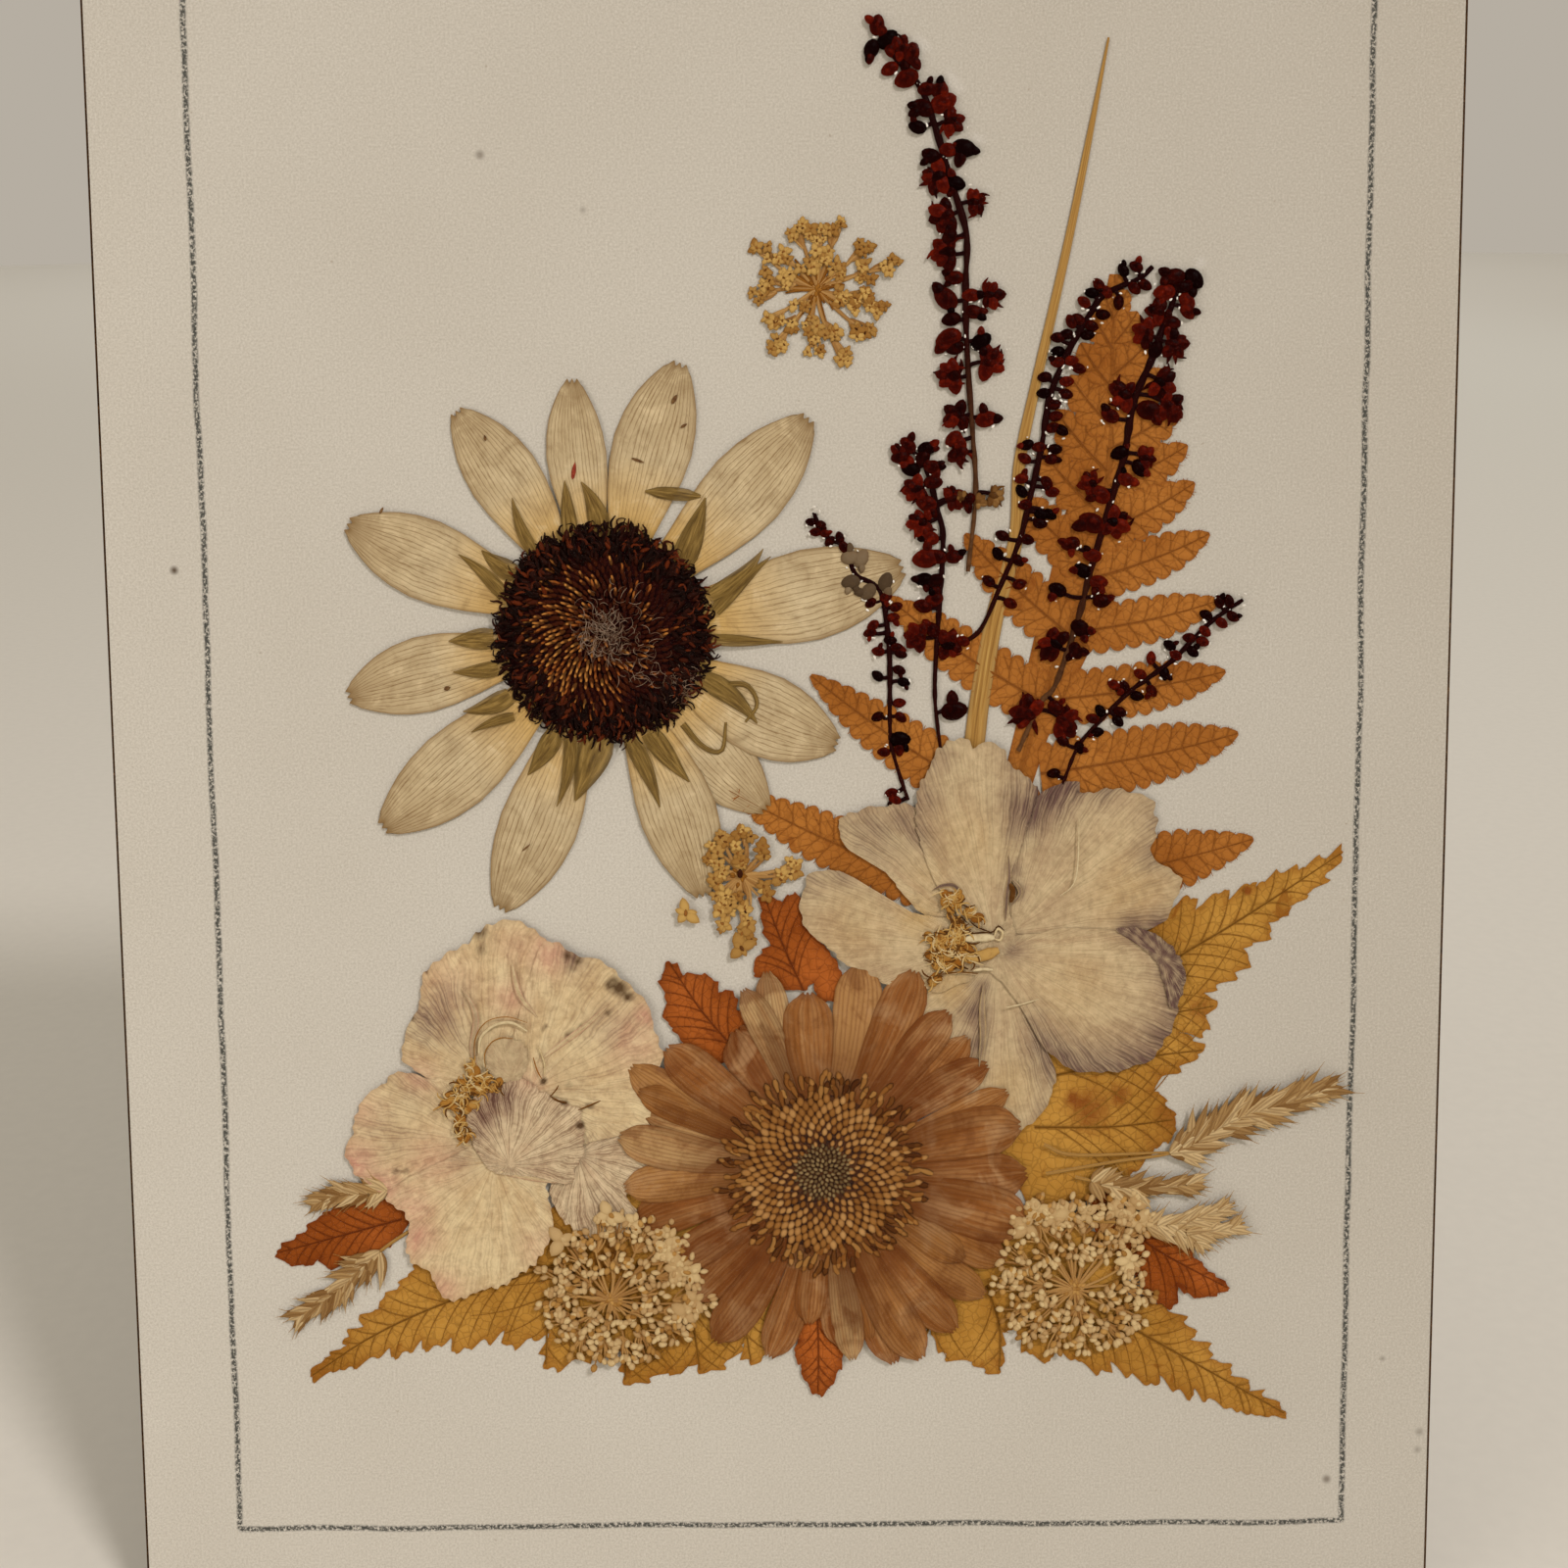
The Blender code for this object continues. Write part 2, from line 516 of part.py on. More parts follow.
def thicken(bm, thickness):
    """Gives an open surface facing out of the paper a thickness, outwards."""
    grown = bmesh.ops.extrude_face_region(bm, geom=bm.faces[:])["geom"]
    lifted = [item for item in grown if isinstance(item, bmesh.types.BMVert)]
    bmesh.ops.translate(bm, verts=lifted, vec=(0, -thickness * MM, 0))
    bmesh.ops.recalc_face_normals(bm, faces=bm.faces[:])


def pressed(name, outlines, layer, thickness, finish, parent):
    """A flat pressed piece whose outlines are joined into one solid."""
    points, faces = union(outlines)
    rise = GAP + layer * LAYER
    bm = bmesh.new()
    verts = [bm.verts.new(sheet_point(point, rise)) for point in points]
    for face in faces:
        bm.faces.new([verts[i] for i in face])
    loose = [vert for vert in verts if not vert.link_faces]
    bmesh.ops.delete(bm, geom=loose, context="VERTS")
    thicken(bm, thickness)
    return add_object(name, bm, finish, parent)


def block(name, low, high, finish, parent):
    """A box between two corners, in millimetres."""
    low, high = Vector(low) * MM, Vector(high) * MM
    bm = bmesh.new()
    bmesh.ops.create_cube(bm, size=1)
    bmesh.ops.scale(bm, vec=high - low, verts=bm.verts)
    bmesh.ops.translate(bm, vec=(low + high) / 2, verts=bm.verts)
    return add_object(name, bm, finish, parent)


def dome(name, centre, rings, sides, layer, tuft, finish, parent):
    """A flower's centre: rings of (radius, height) on a flat underside, with a tufted edge."""
    rise = GAP + layer * LAYER
    bm = bmesh.new()
    loops = []
    for depth, (radius, height) in enumerate(rings):
        loop = []
        for i in range(sides):
            reach = radius * (1 + (tuft if i % 2 and depth < 2 else 0))
            angle = 2 * pi * i / sides
            flat = (centre[0] + reach * cos(angle), centre[1] + reach * sin(angle))
            loop.append(bm.verts.new(sheet_point(flat, rise + height)))
        loops.append(loop)
    for lower, upper in zip(loops, loops[1:]):
        for i in range(sides):
            j = (i + 1) % sides
            bm.faces.new((lower[i], lower[j], upper[j], upper[i]))
    bm.faces.new(loops[0][::-1])
    bm.faces.new(loops[-1])
    bmesh.ops.recalc_face_normals(bm, faces=bm.faces[:])
    obj = add_object(name, bm, finish, parent)
    shade_round(obj)
    return obj


# Sub-parts


def board_and_paper(sheet):
    half = BOARD_WIDTH / 2
    block("backing_board", (-half, PAPER_THICKNESS + GAP, 0), (half, BOARD_BACK, BOARD_HEIGHT),
          "hardboard", sheet)
    half -= BOARD_RIM
    block("paper_mount", (-half, 0, BOARD_RIM), (half, PAPER_THICKNESS, BOARD_HEIGHT - BOARD_RIM),
          "paper", sheet)


def clear_film(sheet):
    """One thin sheet, flat on the paper's margins and lifted over the flowers."""
    half = BOARD_WIDTH / 2 - BOARD_RIM
    edge = [(-half, BOARD_RIM), (half, BOARD_RIM), (half, BOARD_HEIGHT - BOARD_RIM),
            (-half, BOARD_HEIGHT - BOARD_RIM)]
    top = [Vector(point) for point in PLATEAU]
    foot = grown_outline(top, FILM_SLOPE)
    points = [Vector(point) for point in edge] + foot
    loops = [list(range(4)), list(range(4, 4 + len(foot)))]
    flat, _, faces, _, _, sources = delaunay_2d_cdt(points, [], loops, 1, 1e-4)
    bm = bmesh.new()
    low = [bm.verts.new(sheet_point(point, GAP)) for point in flat]
    high = [bm.verts.new(sheet_point(point, FILM_RISE)) for point in top]
    ring = low[4:]
    for face, source in zip(faces, sources):
        if 1 not in source:
            bm.faces.new([low[i] for i in face])
    for i in range(len(top)):
        j = (i + 1) % len(top)
        bm.faces.new((ring[i], ring[j], high[j], high[i]))
    bm.faces.new(high)
    bmesh.ops.triangulate(bm, faces=bm.faces[:])
    thicken(bm, FILM_THICKNESS)
    add_object("clear_film", bm, "film", sheet)


def coneflower(sheet):
    petals = [petal(CONEFLOWER, (x, z), width, PETAL_PROFILE, CONEFLOWER_HUB - 1)
              for x, z, width in CONEFLOWER_PETALS]
    petals.append(disc(CONEFLOWER, CONEFLOWER_HUB, HUB_SIDES))
    pressed("coneflower_petals", petals, 2, SHEET, "coneflower", sheet)
    inner, outer = SEPAL_HUB
    sepals = [disc(CONEFLOWER, outer, HUB_SIDES)]
    for base_x, base_z, tip_x, tip_z, width in CONEFLOWER_SEPALS:
        tip = Vector((tip_x, tip_z))
        base = Vector((base_x, base_z))
        root = base + (Vector(CONEFLOWER) - base).normalized() * (outer - inner)
        sepals.append(lance(root, tip, width))
    pressed("coneflower_sepals", sepals, 3, SHEET, "sepal", sheet)
    radius, height = CONEFLOWER_DISC_RADIUS, CONEFLOWER_DISC_HEIGHT
    rings = ((radius * 0.94, 0), (radius, height * 0.4), (radius * 0.84, height),
             (radius * 0.3, height * 0.7))
    dome("coneflower_disc", CONEFLOWER, rings, CONEFLOWER_DISC_SIDES, 4, CONEFLOWER_DISC_TUFT,
         "dark_disc", sheet)


def brown_daisy(sheet):
    petals = [petal(DAISY, (x, z), width, DAISY_PROFILE, DAISY_HUB - 2)
              for x, z, width in DAISY_PETALS]
    petals.append(disc(DAISY, DAISY_HUB, HUB_SIDES))
    pressed("daisy_petals", petals, 4, SHEET, "daisy", sheet)
    radius, height = DAISY_DISC_RADIUS, DAISY_DISC_HEIGHT
    rings = ((radius * 0.95, 0), (radius, height * 0.3), (radius * 0.8, height * 0.9),
             (radius * 0.3, height))
    dome("daisy_disc", DAISY, rings, DAISY_DISC_SIDES, 5, DAISY_DISC_TUFT, "daisy_disc", sheet)


def delphinium(name, petals, stamens, finish, sheet):
    for place, (layer, outline) in petals.items():
        pressed(f"{name}_petal_{place}", [smooth(outline)], layer, SHEET, finish, sheet)
    anthers = [disc((x, z), radius, ANTHER_SIDES) for x, z, radius in stamens]
    pressed(f"{name}_stamens", anthers, 5, STAMEN_THICKNESS, "stamen", sheet)


def fern(sheet):
    outlines = [ribbon(FERN_STALK, FERN_STALK_WIDTHS), FERN_TOP]
    for base_x, base_z, tip_x, tip_z, width, lobes in FERN_PINNAE:
        outlines.append(pinna((base_x, base_z), (tip_x, tip_z), width, lobes))
    pressed("fern_frond", outlines, 0, SHEET, "fern", sheet)


def leaves(sheet):
    for name, (layer, outline) in LEAVES.items():
        finish = "ochre_leaf" if name.startswith("maple") else "red_leaf"
        pressed(name, [outline], layer, SHEET, finish, sheet)


def umbels(sheet):
    for name, (x, z, reach, rays, layer) in UMBELS.items():
        pressed(name, umbel(x, z, reach, rays), layer, SHEET, "umbel", sheet)


def seed_spikes(sheet):
    for number, (layer, thickness, radius, spacing, route) in enumerate(SPIKES, 1):
        pressed(f"seed_spike_{number}", spike(route, radius, spacing), layer, thickness, "seed", sheet)


def grasses(sheet):
    pressed("grass_blade", [ribbon(BLADE_ROUTE, BLADE_WIDTHS)], 1, SHEET, "grass", sheet)
    for name, (layer, stem, width, tips) in GRASS_HEADS.items():
        pressed(name, grass_head(stem, width, tips), layer, SHEET, "grass", sheet)


# The stand, in its own frame: the pin's axis is the origin, the board's back is at y = -AXIS_OFFSET


def extruded(outline, low, high):
    """A prism along x from an outline in (y, z), in millimetres."""
    bm = bmesh.new()
    verts = [bm.verts.new(Vector((low, y, z)) * MM) for y, z in outline]
    face = bm.faces.new(verts)
    grown = bmesh.ops.extrude_face_region(bm, geom=[face])["geom"]
    moved = [item for item in grown if isinstance(item, bmesh.types.BMVert)]
    bmesh.ops.translate(bm, verts=moved, vec=((high - low) * MM, 0, 0))
    bmesh.ops.recalc_face_normals(bm, faces=bm.faces[:])
    return bm


def leaf_profile():
    """A hinge leaf seen from its end: a plate on the board's side that rolls round the pin."""
    inner = KNUCKLE_RADIUS - LEAF_THICKNESS
    turns = [radians(180 + CURL_TURN * i / CURL_STEPS) for i in range(CURL_STEPS + 1)]
    outline = [(-KNUCKLE_RADIUS, LEAF_LENGTH)]
    outline += [(KNUCKLE_RADIUS * cos(a), KNUCKLE_RADIUS * sin(a)) for a in turns]
    outline += [(inner * cos(a), inner * sin(a)) for a in reversed(turns)]
    return outline + [(-inner, LEAF_LENGTH)]


def cut_away(obj, name, low, high):
    """Takes a box out of an object."""
    cutter = block(name, low, high, "steel", obj.parent)
    cutter.hide_render = True
    cutter.display_type = "WIRE"
    cut = obj.modifiers.new(name, "BOOLEAN")
    cut.operation = "DIFFERENCE"
    cut.solver = "EXACT"
    cut.object = cutter


def hinge(fixed, moving):
    half, middle = HINGE_WIDTH / 2, MIDDLE_KNUCKLE / 2
    reach = KNUCKLE_RADIUS + GAP
    board_leaf = add_object("hinge_board_leaf", extruded(leaf_profile(), -half, half), "steel", fixed)
    cut_away(board_leaf, "middle_gap", (-middle - GAP, -3, -3), (middle + GAP, 3, reach))
    turned = [(-y, -z) for y, z in leaf_profile()]
    strut_leaf = add_object("hinge_strut_leaf", extruded(turned, -half, half), "steel", moving)
    cut_away(strut_leaf, "left_gap", (-half - 1, -3, -reach), (-middle, 3, 3))
    cut_away(strut_leaf, "right_gap", (middle, -3, -reach), (half + 1, 3, 3))
    bm = bmesh.new()
    ends = half + GAP
    rings = ((-ends - PIN_HEAD_LENGTH, PIN_HEAD_RADIUS), (-ends, PIN_HEAD_RADIUS), (-ends, PIN_RADIUS),
             (ends, PIN_RADIUS), (ends, PIN_HEAD_RADIUS), (ends + PIN_HEAD_LENGTH, PIN_HEAD_RADIUS))
    loops = [[bm.verts.new(Vector((x, *point)) * MM) for point in disc((0, 0), radius, PIN_SIDES)]
             for x, radius in rings]
    for near, far in zip(loops, loops[1:]):
        for i in range(PIN_SIDES):
            j = (i + 1) % PIN_SIDES
            bm.faces.new((near[i], near[j], far[j], far[i]))
    bm.faces.new(loops[0])
    bm.faces.new(loops[-1])
    bmesh.ops.recalc_face_normals(bm, faces=bm.faces[:])
    pin = add_object("hinge_pin", bm, "steel", fixed)
    for obj in (board_leaf, strut_leaf, pin):
        shade_round(obj)


def keep_side(bm, point, normal):
    """Cuts a solid by a plane, keeps the side that the normal points to, and closes the cut."""
    cut = bmesh.ops.bisect_plane(bm, geom=bm.verts[:] + bm.edges[:] + bm.faces[:],
                                 plane_co=point, plane_no=normal, clear_inner=True)
    edges = [item for item in cut["geom_cut"] if isinstance(item, bmesh.types.BMEdge)]
    bmesh.ops.holes_fill(bm, edges=edges)
    bmesh.ops.recalc_face_normals(bm, faces=bm.faces[:])


def easel_strut(moving, axis_height):
    """A tapered strut, notched round the hinge, with a bevelled stop on top and a foot cut level."""
    inner = GAP - AXIS_OFFSET
    length = axis_height / cos(SPREAD - LEAN) + STRUT_THICKNESS
    notch, top, foot = STRUT_NOTCH_WIDTH / 2, STRUT_TOP_WIDTH / 2, STRUT_FOOT_WIDTH / 2
    sill = -KNUCKLE_RADIUS - NOTCH_CLEARANCE
    outline = ((-foot, -length), (foot, -length), (top, STRUT_HORN), (notch, STRUT_HORN), (notch, sill),
               (-notch, sill), (-notch, STRUT_HORN), (-top, STRUT_HORN))
    bm = bmesh.new()
    face = bm.faces.new([bm.verts.new(Vector((x, inner, z)) * MM) for x, z in outline])
    grown = bmesh.ops.extrude_face_region(bm, geom=[face])["geom"]
    moved = [item for item in grown if isinstance(item, bmesh.types.BMVert)]
    bmesh.ops.translate(bm, verts=moved, vec=(0, STRUT_THICKNESS * MM, 0))
    bmesh.ops.recalc_face_normals(bm, faces=bm.faces[:])
    board_side = Vector((0, cos(SPREAD), -sin(SPREAD)))
    keep_side(bm, board_side * inner * MM, board_side)
    up = Vector((0, sin(SPREAD - LEAN), cos(SPREAD - LEAN)))
    keep_side(bm, up * -axis_height * MM, up)
    add_object("easel_strut", bm, "hardboard", moving)


def stand(sheet):
    axis_y = BOARD_BACK + AXIS_OFFSET
    axis_height = HINGE_HEIGHT * cos(LEAN) - AXIS_OFFSET * sin(LEAN)
    fixed = add_empty("hinge_axis", sheet)
    fixed.location = Vector((0, axis_y, HINGE_HEIGHT)) * MM
    moving = add_empty("strut_axis", fixed)
    moving.rotation_euler.x = SPREAD
    hinge(fixed, moving)
    easel_strut(moving, axis_height)


def stand_on_ground(sheet):
    """Leans the sheet back, and puts the origin under the middle of the whole object."""
    sheet.rotation_euler.x = -LEAN
    sheet.location.z = BOARD_BACK * sin(LEAN) * MM
    bpy.context.view_layer.update()
    solids = [obj for obj in bpy.data.objects if obj.type == "MESH" and not obj.hide_render]
    depths = [(obj.matrix_world @ vert.co).y for obj in solids for vert in obj.data.vertices]
    sheet.location.y = -(min(depths) + max(depths)) / 2


def build():
    clear_scene()
    sheet = add_empty("sheet")
    board_and_paper(sheet)
    clear_film(sheet)
    coneflower(sheet)
    brown_daisy(sheet)
    delphinium("cream_delphinium", CREAM_PETALS, CREAM_STAMENS, "cream", sheet)
    delphinium("pink_delphinium", PINK_PETALS, PINK_STAMENS, "pink", sheet)
    fern(sheet)
    leaves(sheet)
    umbels(sheet)
    seed_spikes(sheet)
    grasses(sheet)
    stand(sheet)
    stand_on_ground(sheet)


build()
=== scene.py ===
from functools import reduce
from math import cos, pi, radians, sin, tau

import bpy
import numpy as np
from mathutils import Matrix, Vector
from mathutils.geometry import delaunay_2d_cdt


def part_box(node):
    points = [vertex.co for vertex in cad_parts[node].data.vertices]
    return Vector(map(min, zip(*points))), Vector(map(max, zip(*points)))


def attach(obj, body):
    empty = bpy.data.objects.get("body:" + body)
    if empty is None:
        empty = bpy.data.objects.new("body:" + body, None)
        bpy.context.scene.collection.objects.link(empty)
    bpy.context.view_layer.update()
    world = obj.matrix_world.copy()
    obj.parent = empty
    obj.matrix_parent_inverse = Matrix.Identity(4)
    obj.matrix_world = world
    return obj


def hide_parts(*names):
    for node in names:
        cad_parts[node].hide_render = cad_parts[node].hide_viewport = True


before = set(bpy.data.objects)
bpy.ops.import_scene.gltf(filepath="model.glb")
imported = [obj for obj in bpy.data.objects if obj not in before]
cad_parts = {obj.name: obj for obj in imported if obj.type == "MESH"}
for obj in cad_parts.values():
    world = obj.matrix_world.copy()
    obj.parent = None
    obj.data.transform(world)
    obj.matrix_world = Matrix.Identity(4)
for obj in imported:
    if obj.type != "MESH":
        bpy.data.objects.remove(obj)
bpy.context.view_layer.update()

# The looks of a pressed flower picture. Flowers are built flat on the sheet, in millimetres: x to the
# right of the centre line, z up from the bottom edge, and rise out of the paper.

MM = 0.001
PICTURE = "picture"

# The sheet's place, from the CAD paper

LEAN = radians(13)
PAPER_INSET = 0.5  # paper's edge from the board's edge
PAPER_THICKNESS = 0.3
SHEET_WIDTH = 180
SHEET_HEIGHT = 240

paper_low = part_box("paper_mount")[0]
SHEET_Y = paper_low.y - PAPER_INSET * MM * sin(LEAN)
SHEET_Z = paper_low.z + (PAPER_THICKNESS * sin(LEAN) - PAPER_INSET * cos(LEAN)) * MM
SHEET = Matrix.Translation((0, SHEET_Y, SHEET_Z)) @ Matrix.Rotation(-LEAN, 4, "X")

# Camera, light and floor

CAMERA_X, CAMERA_DISTANCE, CAMERA_Z = 0.85, 249.6, 142.2  # on the sheet, in millimetres
CAMERA_TILT = radians(5.587)
CAMERA_ROLL = radians(0.44)
CAMERA_YAW = radians(0.076)
CAMERA_LENS = 42.75

KEY_DIRECTION = Vector((0.46, -0.52, 0.72))
KEY_DISTANCE = 2
KEY_SETTINGS = 0.38, 17.6, (1, 0.95, 0.94)  # size in metres, power and colour
LIGHTS = {  # place, target, size, power and colour
    "low_left": ((-0.7, -0.6, 0.25), (0, 0, 0.12), 0.5, 1.6, (1, 0.9, 0.84)),
    "back_right": ((1.2, 1.4, 1), (0, 0.4, 0), 1.2, 1.6, (0.8, 0.95, 1)),
    "far_floor": ((0, 3, 2), (0, 4, 0), 3, 15, (0.95, 0.97, 1)),
}
HORIZON_COLOUR = (0.467, 0.423, 0.361)
SKY_COLOUR = (0.43, 0.396, 0.346)
HORIZON_BAND = (0.08, 0.4)  # height over which the horizon's colour gives way to the sky's
FLOOR_COLOUR = "#E6E1D6"
FLOOR_RADIUS = 4
FLOOR_SIDES = 96


def new_object(name, data):
    obj = bpy.data.objects.new(name, data)
    bpy.context.scene.collection.objects.link(obj)
    return obj


def add_camera():
    data = bpy.data.cameras.new("camera")
    data.lens = CAMERA_LENS
    data.clip_start = 0.01
    camera = new_object("camera", data)
    turn = Matrix.Rotation(CAMERA_YAW, 4, "Z") @ Matrix.Rotation(pi / 2 - CAMERA_TILT, 4, "X")
    place = Matrix.Translation(Vector((CAMERA_X, -CAMERA_DISTANCE, CAMERA_Z)) * MM)
    camera.matrix_world = SHEET @ place @ turn @ Matrix.Rotation(-CAMERA_ROLL, 4, "Z")
    bpy.context.scene.camera = camera


def add_area_light(name, place, target, size, power, colour):
    data = bpy.data.lights.new(name, "AREA")
    data.shape = "DISK"
    data.size = size
    data.energy = power
    data.color = colour
    light = new_object(name, data)
    light.location = place
    light.rotation_euler = (Vector(place) - Vector(target)).to_track_quat("Z", "Y").to_euler()


def add_world():
    """An even sky that takes the far floor's colour near the horizon."""
    world = bpy.data.worlds.new("studio")
    world.use_nodes = True
    sky = Graph(world.node_tree)
    height = sky.node("SeparateXYZ", {0: sky.node("TexCoord", {}, "Generated")}, "Z")
    colour = sky.mix(height.span(*HORIZON_BAND), HORIZON_COLOUR, SKY_COLOUR)
    sky.feed(world.node_tree.nodes["Background"].inputs["Color"], colour)
    bpy.context.scene.world = world


def add_stage():
    centre = SHEET @ Vector((0, 0, SHEET_HEIGHT / 2 * MM))
    key_place = centre + KEY_DIRECTION.normalized() * KEY_DISTANCE
    add_area_light("key_light", key_place, centre, *KEY_SETTINGS)
    for name, settings in LIGHTS.items():
        add_area_light(name, *settings)
    add_world()
    bpy.context.scene.view_settings.view_transform = "Standard"
    mesh = bpy.data.meshes.new("floor")
    turns = [tau * i / FLOOR_SIDES for i in range(FLOOR_SIDES)]
    rim = [(FLOOR_RADIUS * cos(turn), FLOOR_RADIUS * sin(turn), 0) for turn in turns]
    mesh.from_pydata(rim, [], [list(range(FLOOR_SIDES))])
    floor = new_object("floor", mesh)
    look = Look("floor_paint", 0.7, PLAIN)
    look.base(look.ramp(look.noise(350, 4), {0.3: FLOOR_COLOUR, 0.7: tint(FLOOR_COLOUR, 1.03)}))
    look.bump(look.noise(900, 3), 0.15, 0.1)
    mesh.materials.append(look.material)


# Materials

MATT = 0.04  # specular level of a dry plant
DULL = 0.2
PLAIN = 0.5
MARKS = ("along", "across", "tone", "ink", "edge", "spot")  # numbers that the flowers carry at each point


def tint(code, gain=1):
    """A linear colour from a hexadecimal screen colour, made brighter by a gain."""
    parts = [int(code[i:i + 2], 16) / 255 for i in (1, 3, 5)]
    return tuple(min(gain * (c / 12.92 if c < 0.04045 else ((c + 0.055) / 1.055) ** 2.4), 1) for c in parts)


def solid(colour):
    """Red, green, blue and alpha for a socket."""
    return (*(tint(colour) if isinstance(colour, str) else colour), 1)


class Field:
    """A value that varies over a surface. A sum with it adds a node."""

    def __init__(self, graph, socket):
        self.graph, self.socket = graph, socket

    def __add__(self, other):
        return self.graph.math("ADD", self, other)

    def __sub__(self, other):
        return self.graph.math("SUBTRACT", self, other)

    def __mul__(self, other):
        return self.graph.math("MULTIPLY", self, other)

    def __abs__(self):
        return self.graph.math("ABSOLUTE", self)

    def most(self, other):
        return self.graph.math("MAXIMUM", self, other)

    def span(self, low, high, to_low=0, to_high=1):
        """Maps a range onto another, clamped."""
        inputs = {"Value": self, "From Min": low, "From Max": high, "To Min": to_low, "To Max": to_high}
        return self.graph.node("MapRange", inputs)


class Graph:
    """A tree of shader nodes."""

    def __init__(self, tree):
        self.tree = tree

    def node(self, kind, inputs, output=0, **settings):
        made = self.tree.nodes.new("ShaderNode" + kind)
        for setting, value in settings.items():
            setattr(made, setting, value)
        for socket, value in inputs.items():
            self.feed(made.inputs[socket], value)
        return Field(self, made.outputs[output])

    def feed(self, socket, value):
        if isinstance(value, Field):
            self.tree.links.new(value.socket, socket)
        else:
            socket.default_value = solid(value) if socket.type == "RGBA" else value

    def math(self, operation, a, b=0, clamp=False):
        return self.node("Math", {0: a, 1: b}, operation=operation, use_clamp=clamp)

    def mix(self, amount, first, second):
        return self.node("Mix", {0: amount, 6: first, 7: second}, 2, data_type="RGBA")


class Look(Graph):
    """A procedural material: a base colour, coats of other colours over it, and relief."""

    def __init__(self, name, roughness, specular=MATT, metallic=0, alpha=1):
        self.material = bpy.data.materials.new(name)
        self.material.use_nodes = True
        super().__init__(self.material.node_tree)
        self.shader = self.tree.nodes["Principled BSDF"]
        sockets = ("Roughness", "Specular IOR Level", "Metallic", "Alpha")
        for socket, value in zip(sockets, (roughness, specular, metallic, alpha)):
            self.shader.inputs[socket].default_value = value

    def __getattr__(self, name):
        """Makes look.tone, look.edge and the other marks, and look.position, when they are first used."""
        if name == "position":
            field = self.node("TexCoord", {}, "Object")
        elif name in MARKS:
            field = self.node("Attribute", {}, "Fac", attribute_name=name)
        else:
            raise AttributeError(name)
        setattr(self, name, field)
        return field

    def vector(self, operation, a, b=(0, 0, 0), output=0):
        return self.node("VectorMath", {0: a, 1: b}, output, operation=operation)

    def noise(self, scale, detail=3, vector=None, distortion=0, roughness=0.5):
        inputs = {"Vector": vector or self.position, "Scale": scale, "Detail": detail,
                  "Roughness": roughness, "Distortion": distortion}
        return self.node("TexNoise", inputs)

    def grain(self, x, y, shift, detail, distortion=0, roughness=0.5):
        """Noise over two marks, with a pattern of its own for each tone."""
        place = self.node("CombineXYZ", {"X": x, "Y": y, "Z": self.tone * shift if shift else 0})
        return self.noise(1, detail, place, distortion, roughness)

    def cells(self, scale):
        inputs = {"Vector": self.position, "Scale": scale}
        return self.node("TexVoronoi", inputs, "Distance", feature="DISTANCE_TO_EDGE")

    def lines(self, count, wander, width):
        """Thin lines side by side, from 0 between them to 1 on them."""
        return self.math("PINGPONG", self.across * count + wander, 0.5).span(0.5 - width, 0.5)

    def ramp(self, value, stops):
        field = self.node("ValToRGB", {"Fac": value})
        ramp = field.socket.node.color_ramp
        for index, (place, colour) in enumerate(stops.items()):
            element = ramp.elements[index] if index < 2 else ramp.elements.new(place)
            element.position = place
            element.color = solid(colour)
        return field

    def base(self, colour):
        self.paint = colour
        self.feed(self.shader.inputs["Base Color"], colour)

    def coat(self, amount, colour):
        self.base(self.mix(amount, self.paint, colour))

    def bump(self, height, strength, distance):
        """Relief of this many millimetres, as the last step of a look."""
        inputs = {"Height": height, "Strength": strength, "Distance": distance * MM}
        self.feed(self.shader.inputs["Normal"], self.node("Bump", inputs))
        return self


def toned_look(name, roughness, stops, share=0, rim=None, specular=MATT, strength=0.4):
    """A small part whose colour goes with its tone, and gives way to a rim's colour at its edge."""
    look = Look(name, roughness, specular)
    look.base(look.ramp(look.tone, stops))
    if share:
        look.coat(look.edge * share, rim)
    return look.bump(look.noise(3000), strength, 0.05)


def mottled_look(name, specular, mottle, stops, relief, strength, depth):
    """Two colours in patches, with the scale and detail of the patches and of the relief."""
    look = Look(name, 0.8, specular)
    look.base(look.ramp(look.noise(*mottle), stops))
    return look.bump(look.noise(*relief), strength, depth)


# Random numbers, lines and outlines on the sheet


class Dice:
    """Random numbers that come out the same each time."""

    def __init__(self, seed):
        source = np.random.default_rng(seed)
        self.roll, self.normal, self.integers = source.uniform, source.normal, source.integers

    def __call__(self, low=0, high=1):
        return self.roll(low, high)

    def sway(self, reach):
        """Up to this far to either side."""
        return self.roll(-reach, reach)


def curve(route, count, closed=False):
    """Evenly spaced points along a smooth line through a route."""
    route = np.asarray(route, float)
    if closed:
        ends = np.vstack([route[-1:], route, route[:2]])
    else:
        ends = np.vstack([2 * route[0] - route[1], route, 2 * route[-1] - route[-2]])
    t = np.linspace(0, 1, 12, endpoint=False)[:, None]
    spans = [
        b + ((c - a) * t + (2 * a - 5 * b + 4 * c - d) * t**2 + (3 * b - a - 3 * c + d) * t**3) / 2
        for a, b, c, d in zip(ends, ends[1:], ends[2:], ends[3:])
    ]
    fine = np.vstack([*spans, route[:1] if closed else route[-1:]])
    steps = np.r_[0, np.cumsum(np.linalg.norm(np.diff(fine, axis=0), axis=1))]
    stops = np.linspace(0, steps[-1], count, endpoint=not closed)
    return np.column_stack([np.interp(stops, steps, fine[:, k]) for k in (0, 1)])


